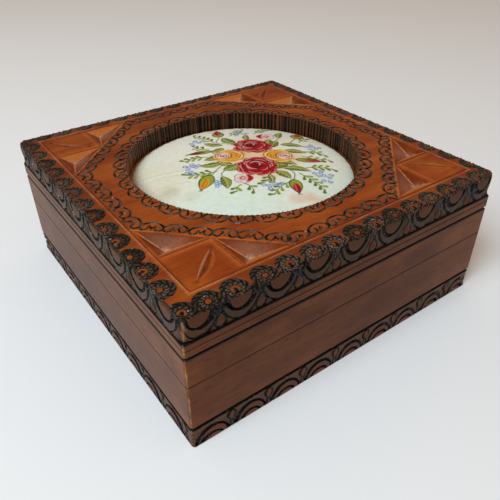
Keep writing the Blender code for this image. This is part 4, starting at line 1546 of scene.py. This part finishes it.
for centre, spread, count in (
        ((-5, 40), 4.5, 6), ((23, 36), 4.5, 6), ((-23, 12.5), 4.0, 7), ((-21.5, -10.5), 2.8, 5),
        ((45, -3), 4.5, 7), ((26, -33), 6.0, 9), ((-1, -27), 5.0, 7), ((-27, 8), 2.5, 3)):
    forget_me_nots(picture, centre, spread, count)
for base, tip, width in (
        ((11, 23), (11, 36), 6.0), ((4, 25), (-2, 35), 4.6), ((-5, 14), (-14.5, 14.5), 5.0),
        ((-9, 6), (-20, 10.5), 5.0), ((-4, -1), (-13, -1), 6.2), ((24, 7), (33, 13), 6.0),
        ((31, 8), (41, 0), 5.2), ((27, 0), (36, -8), 5.2), ((9, -14), (19, -14), 6.0),
        ((13, -16), (24, -26), 5.2), ((8, -17), (10, -27), 5.2), ((37, 17), (45, 25), 4.2),
        ((-17, -6), (-21, -17), 5.0), ((3, -18), (0, -25), 3.2), ((20, 24), (25, 32), 3.6),
        ((2, 21), (-6, 21), 5.0), ((13, -6), (22, -17), 5.6), ((25, 10), (31, 18), 5.0),
        ((-6, 1), (-10, 9), 4.6)):
    leaf(picture, base, tip, width)
small_rose(picture, (32, 23), 5.4, 2.5)
small_rose(picture, (-9.5, -13.8), 5.0, -0.6)
open_rose(picture, (-1, 10.6), 9.0, 2.5)
open_rose(picture, (20, -3.4), 9.0, -0.64)
full_rose(picture, (16.8, 14.8), 10.6, -0.6)
full_rose(picture, (3.8, -7.6), 10.8, -0.75)
bud(picture, (10, 38), (15.5, 49), 6.4, ("#B81226", "#E86074"))
bud(picture, (45, 12), (53, 18), 7.0, ("#D8501A", "#A82418"))
bud(picture, (-5, 22), (-17, 27), 4.4, ("#B4101E", "#6A0A12"))
bud(picture, (25.5, -12), (37, -20), 4.8, ("#B4101E", "#E0606A"))
bud(picture, (-20.5, -1), (-31.5, -10), 7.2, ("#F0A51E", "#C8301A"))
bud(picture, (10.5, -28), (5, -39), 6.2, ("#B81226", "#E86074"))

# Printed plain-woven cotton: matt, with a faint grid of threads and their gaps. Real threads lie about twice
# as close. They are drawn as coarse as they need to be to show.
printed_cotton, tree, shader = new_material("printed_cotton")
thread_pitch = 0.78 * mm
thread_bend = 3 * mm
slub_size = 2.5 * mm
weave_turn = math.radians(28)
print_colour = node(tree, "VertexColor", layer_name="print").outputs["Color"]
place = node(tree, "TexCoord").outputs["Object"]
across = node(tree, "Mapping", {"Vector": place, "Rotation": (0, 0, weave_turn)}).outputs["Vector"]
threads = []
for direction in ("X", "Y"):
    wave = node(tree, "TexWave", {"Vector": across, "Scale": whole_turn / 20 / thread_pitch,
                                  "Distortion": 0.6, "Detail": 1.0, "Detail Scale": 1 / thread_bend},
                bands_direction=direction)
    threads.append(wave.outputs["Fac"])
weave = node(tree, "Math", {0: threads[0], 1: threads[1]}, operation="MULTIPLY").outputs[0]
slub = noise(tree, place, slub_size, 3.0)
colour = blend(tree, ramp(tree, weave, 0, 1, 0.5, 0.0), print_colour, linear("#C6CEC4"), "MULTIPLY")
colour = blend(tree, ramp(tree, slub, 0.3, 0.7, 0.0, 0.3), colour, linear("#DDD8CC"), "MULTIPLY")
tree.links.new(colour, shader.inputs["Base Color"])
tree.links.new(ramp(tree, weave, 0, 1, 0.95, 0.82), shader.inputs["Roughness"])
bump = node(tree, "Bump", {"Height": weave, "Strength": 0.5, "Distance": 0.12 * mm})
tree.links.new(bump.outputs["Normal"], shader.inputs["Normal"])
shader.inputs["Sheen Weight"].default_value = 0.03
shader.inputs["Specular IOR Level"].default_value = 0.1

# The dome, and under its hem a short edge that is tucked in
top = np.column_stack((pad_points, pad_height(pad_points)))
hem_loop = close_loop(pad_points, np.linalg.norm(pad_points, axis=1) > pad_radius - 1e-3)
tuck = np.column_stack((pad_points[hem_loop] * 0.995, np.full(len(hem_loop), pad_low)))
below = list(range(len(top), len(top) + len(hem_loop)))
faces = [tuple(f) for f in pad_faces]
faces += [(hem_loop[i - 1], below[i - 1], below[i], hem_loop[i]) for i in range(len(hem_loop))]
faces.append(tuple(below[::-1]))
inks = np.vstack((picture.colour, np.tile(np.array(linear("#D8D6C8")[:3]), (len(tuck), 1))))
cloth_pad = mesh_object("cloth_pad_printed", np.vstack((top, tuck)) * mm, faces, 60,
                        np.column_stack((inks, np.ones(len(inks)))), "print")
dress(cloth_pad, printed_cotton, "printed_cloth", "cloth_pad")

# The studio
#
# A plain pale floor, a wide soft light high on the left and a weak warm fill all round. The camera stands
# over the near left corner and looks down on the lid.

floor_reach = 3.0
floor_corners = [(x * floor_reach, y * floor_reach, 0) for x, y in ((-1, -1), (1, -1), (1, 1), (-1, 1))]
floor_mesh = bpy.data.meshes.new("floor")
floor_mesh.from_pydata(floor_corners, [], [(0, 1, 2, 3)])
floor = bpy.data.objects.new("floor", floor_mesh)
bpy.context.scene.collection.objects.link(floor)

# Matt paper, which takes soft shadows and shows no reflection.
backdrop_paper, _, shader = new_material("matt_backdrop_paper")
shader.inputs["Base Color"].default_value = linear("#F0F1F0")
shader.inputs["Roughness"].default_value = 0.9
floor_mesh.materials.append(backdrop_paper)

softbox_place = Vector((-0.95, -0.3, 1.12))
lamp = bpy.data.lights.new("overhead_softbox", "AREA")
lamp.shape = "RECTANGLE"
lamp.size = 0.75
lamp.size_y = 0.75
lamp.energy = 21
lamp.color = linear("#DEF1FF")[:3]
softbox = bpy.data.objects.new("overhead_softbox", lamp)
softbox.location = softbox_place
softbox.rotation_euler = (-softbox_place).to_track_quat("-Z", "Y").to_euler()
bpy.context.scene.collection.objects.link(softbox)

world = bpy.data.worlds.new("studio")
world.use_nodes = True
world.node_tree.nodes["Background"].inputs["Color"].default_value = linear("#FFE2C8")
world.node_tree.nodes["Background"].inputs["Strength"].default_value = 0.42
bpy.context.scene.world = world
bpy.context.scene.view_settings.view_transform = "Standard"

# The camera stands where the corners of the box fall as they do in the photograph.
camera_data = bpy.data.cameras.new("camera")
camera_data.lens = 38.24
camera_data.sensor_width = 36.0
camera_data.clip_start = 0.01
camera = bpy.data.objects.new("camera", camera_data)
camera.location = (-0.1432, -0.2037, 0.1874)
camera.rotation_euler = Euler([math.radians(a) for a in (54.605, 0.265, -36.065)])
bpy.context.scene.collection.objects.link(camera)
bpy.context.scene.camera = camera
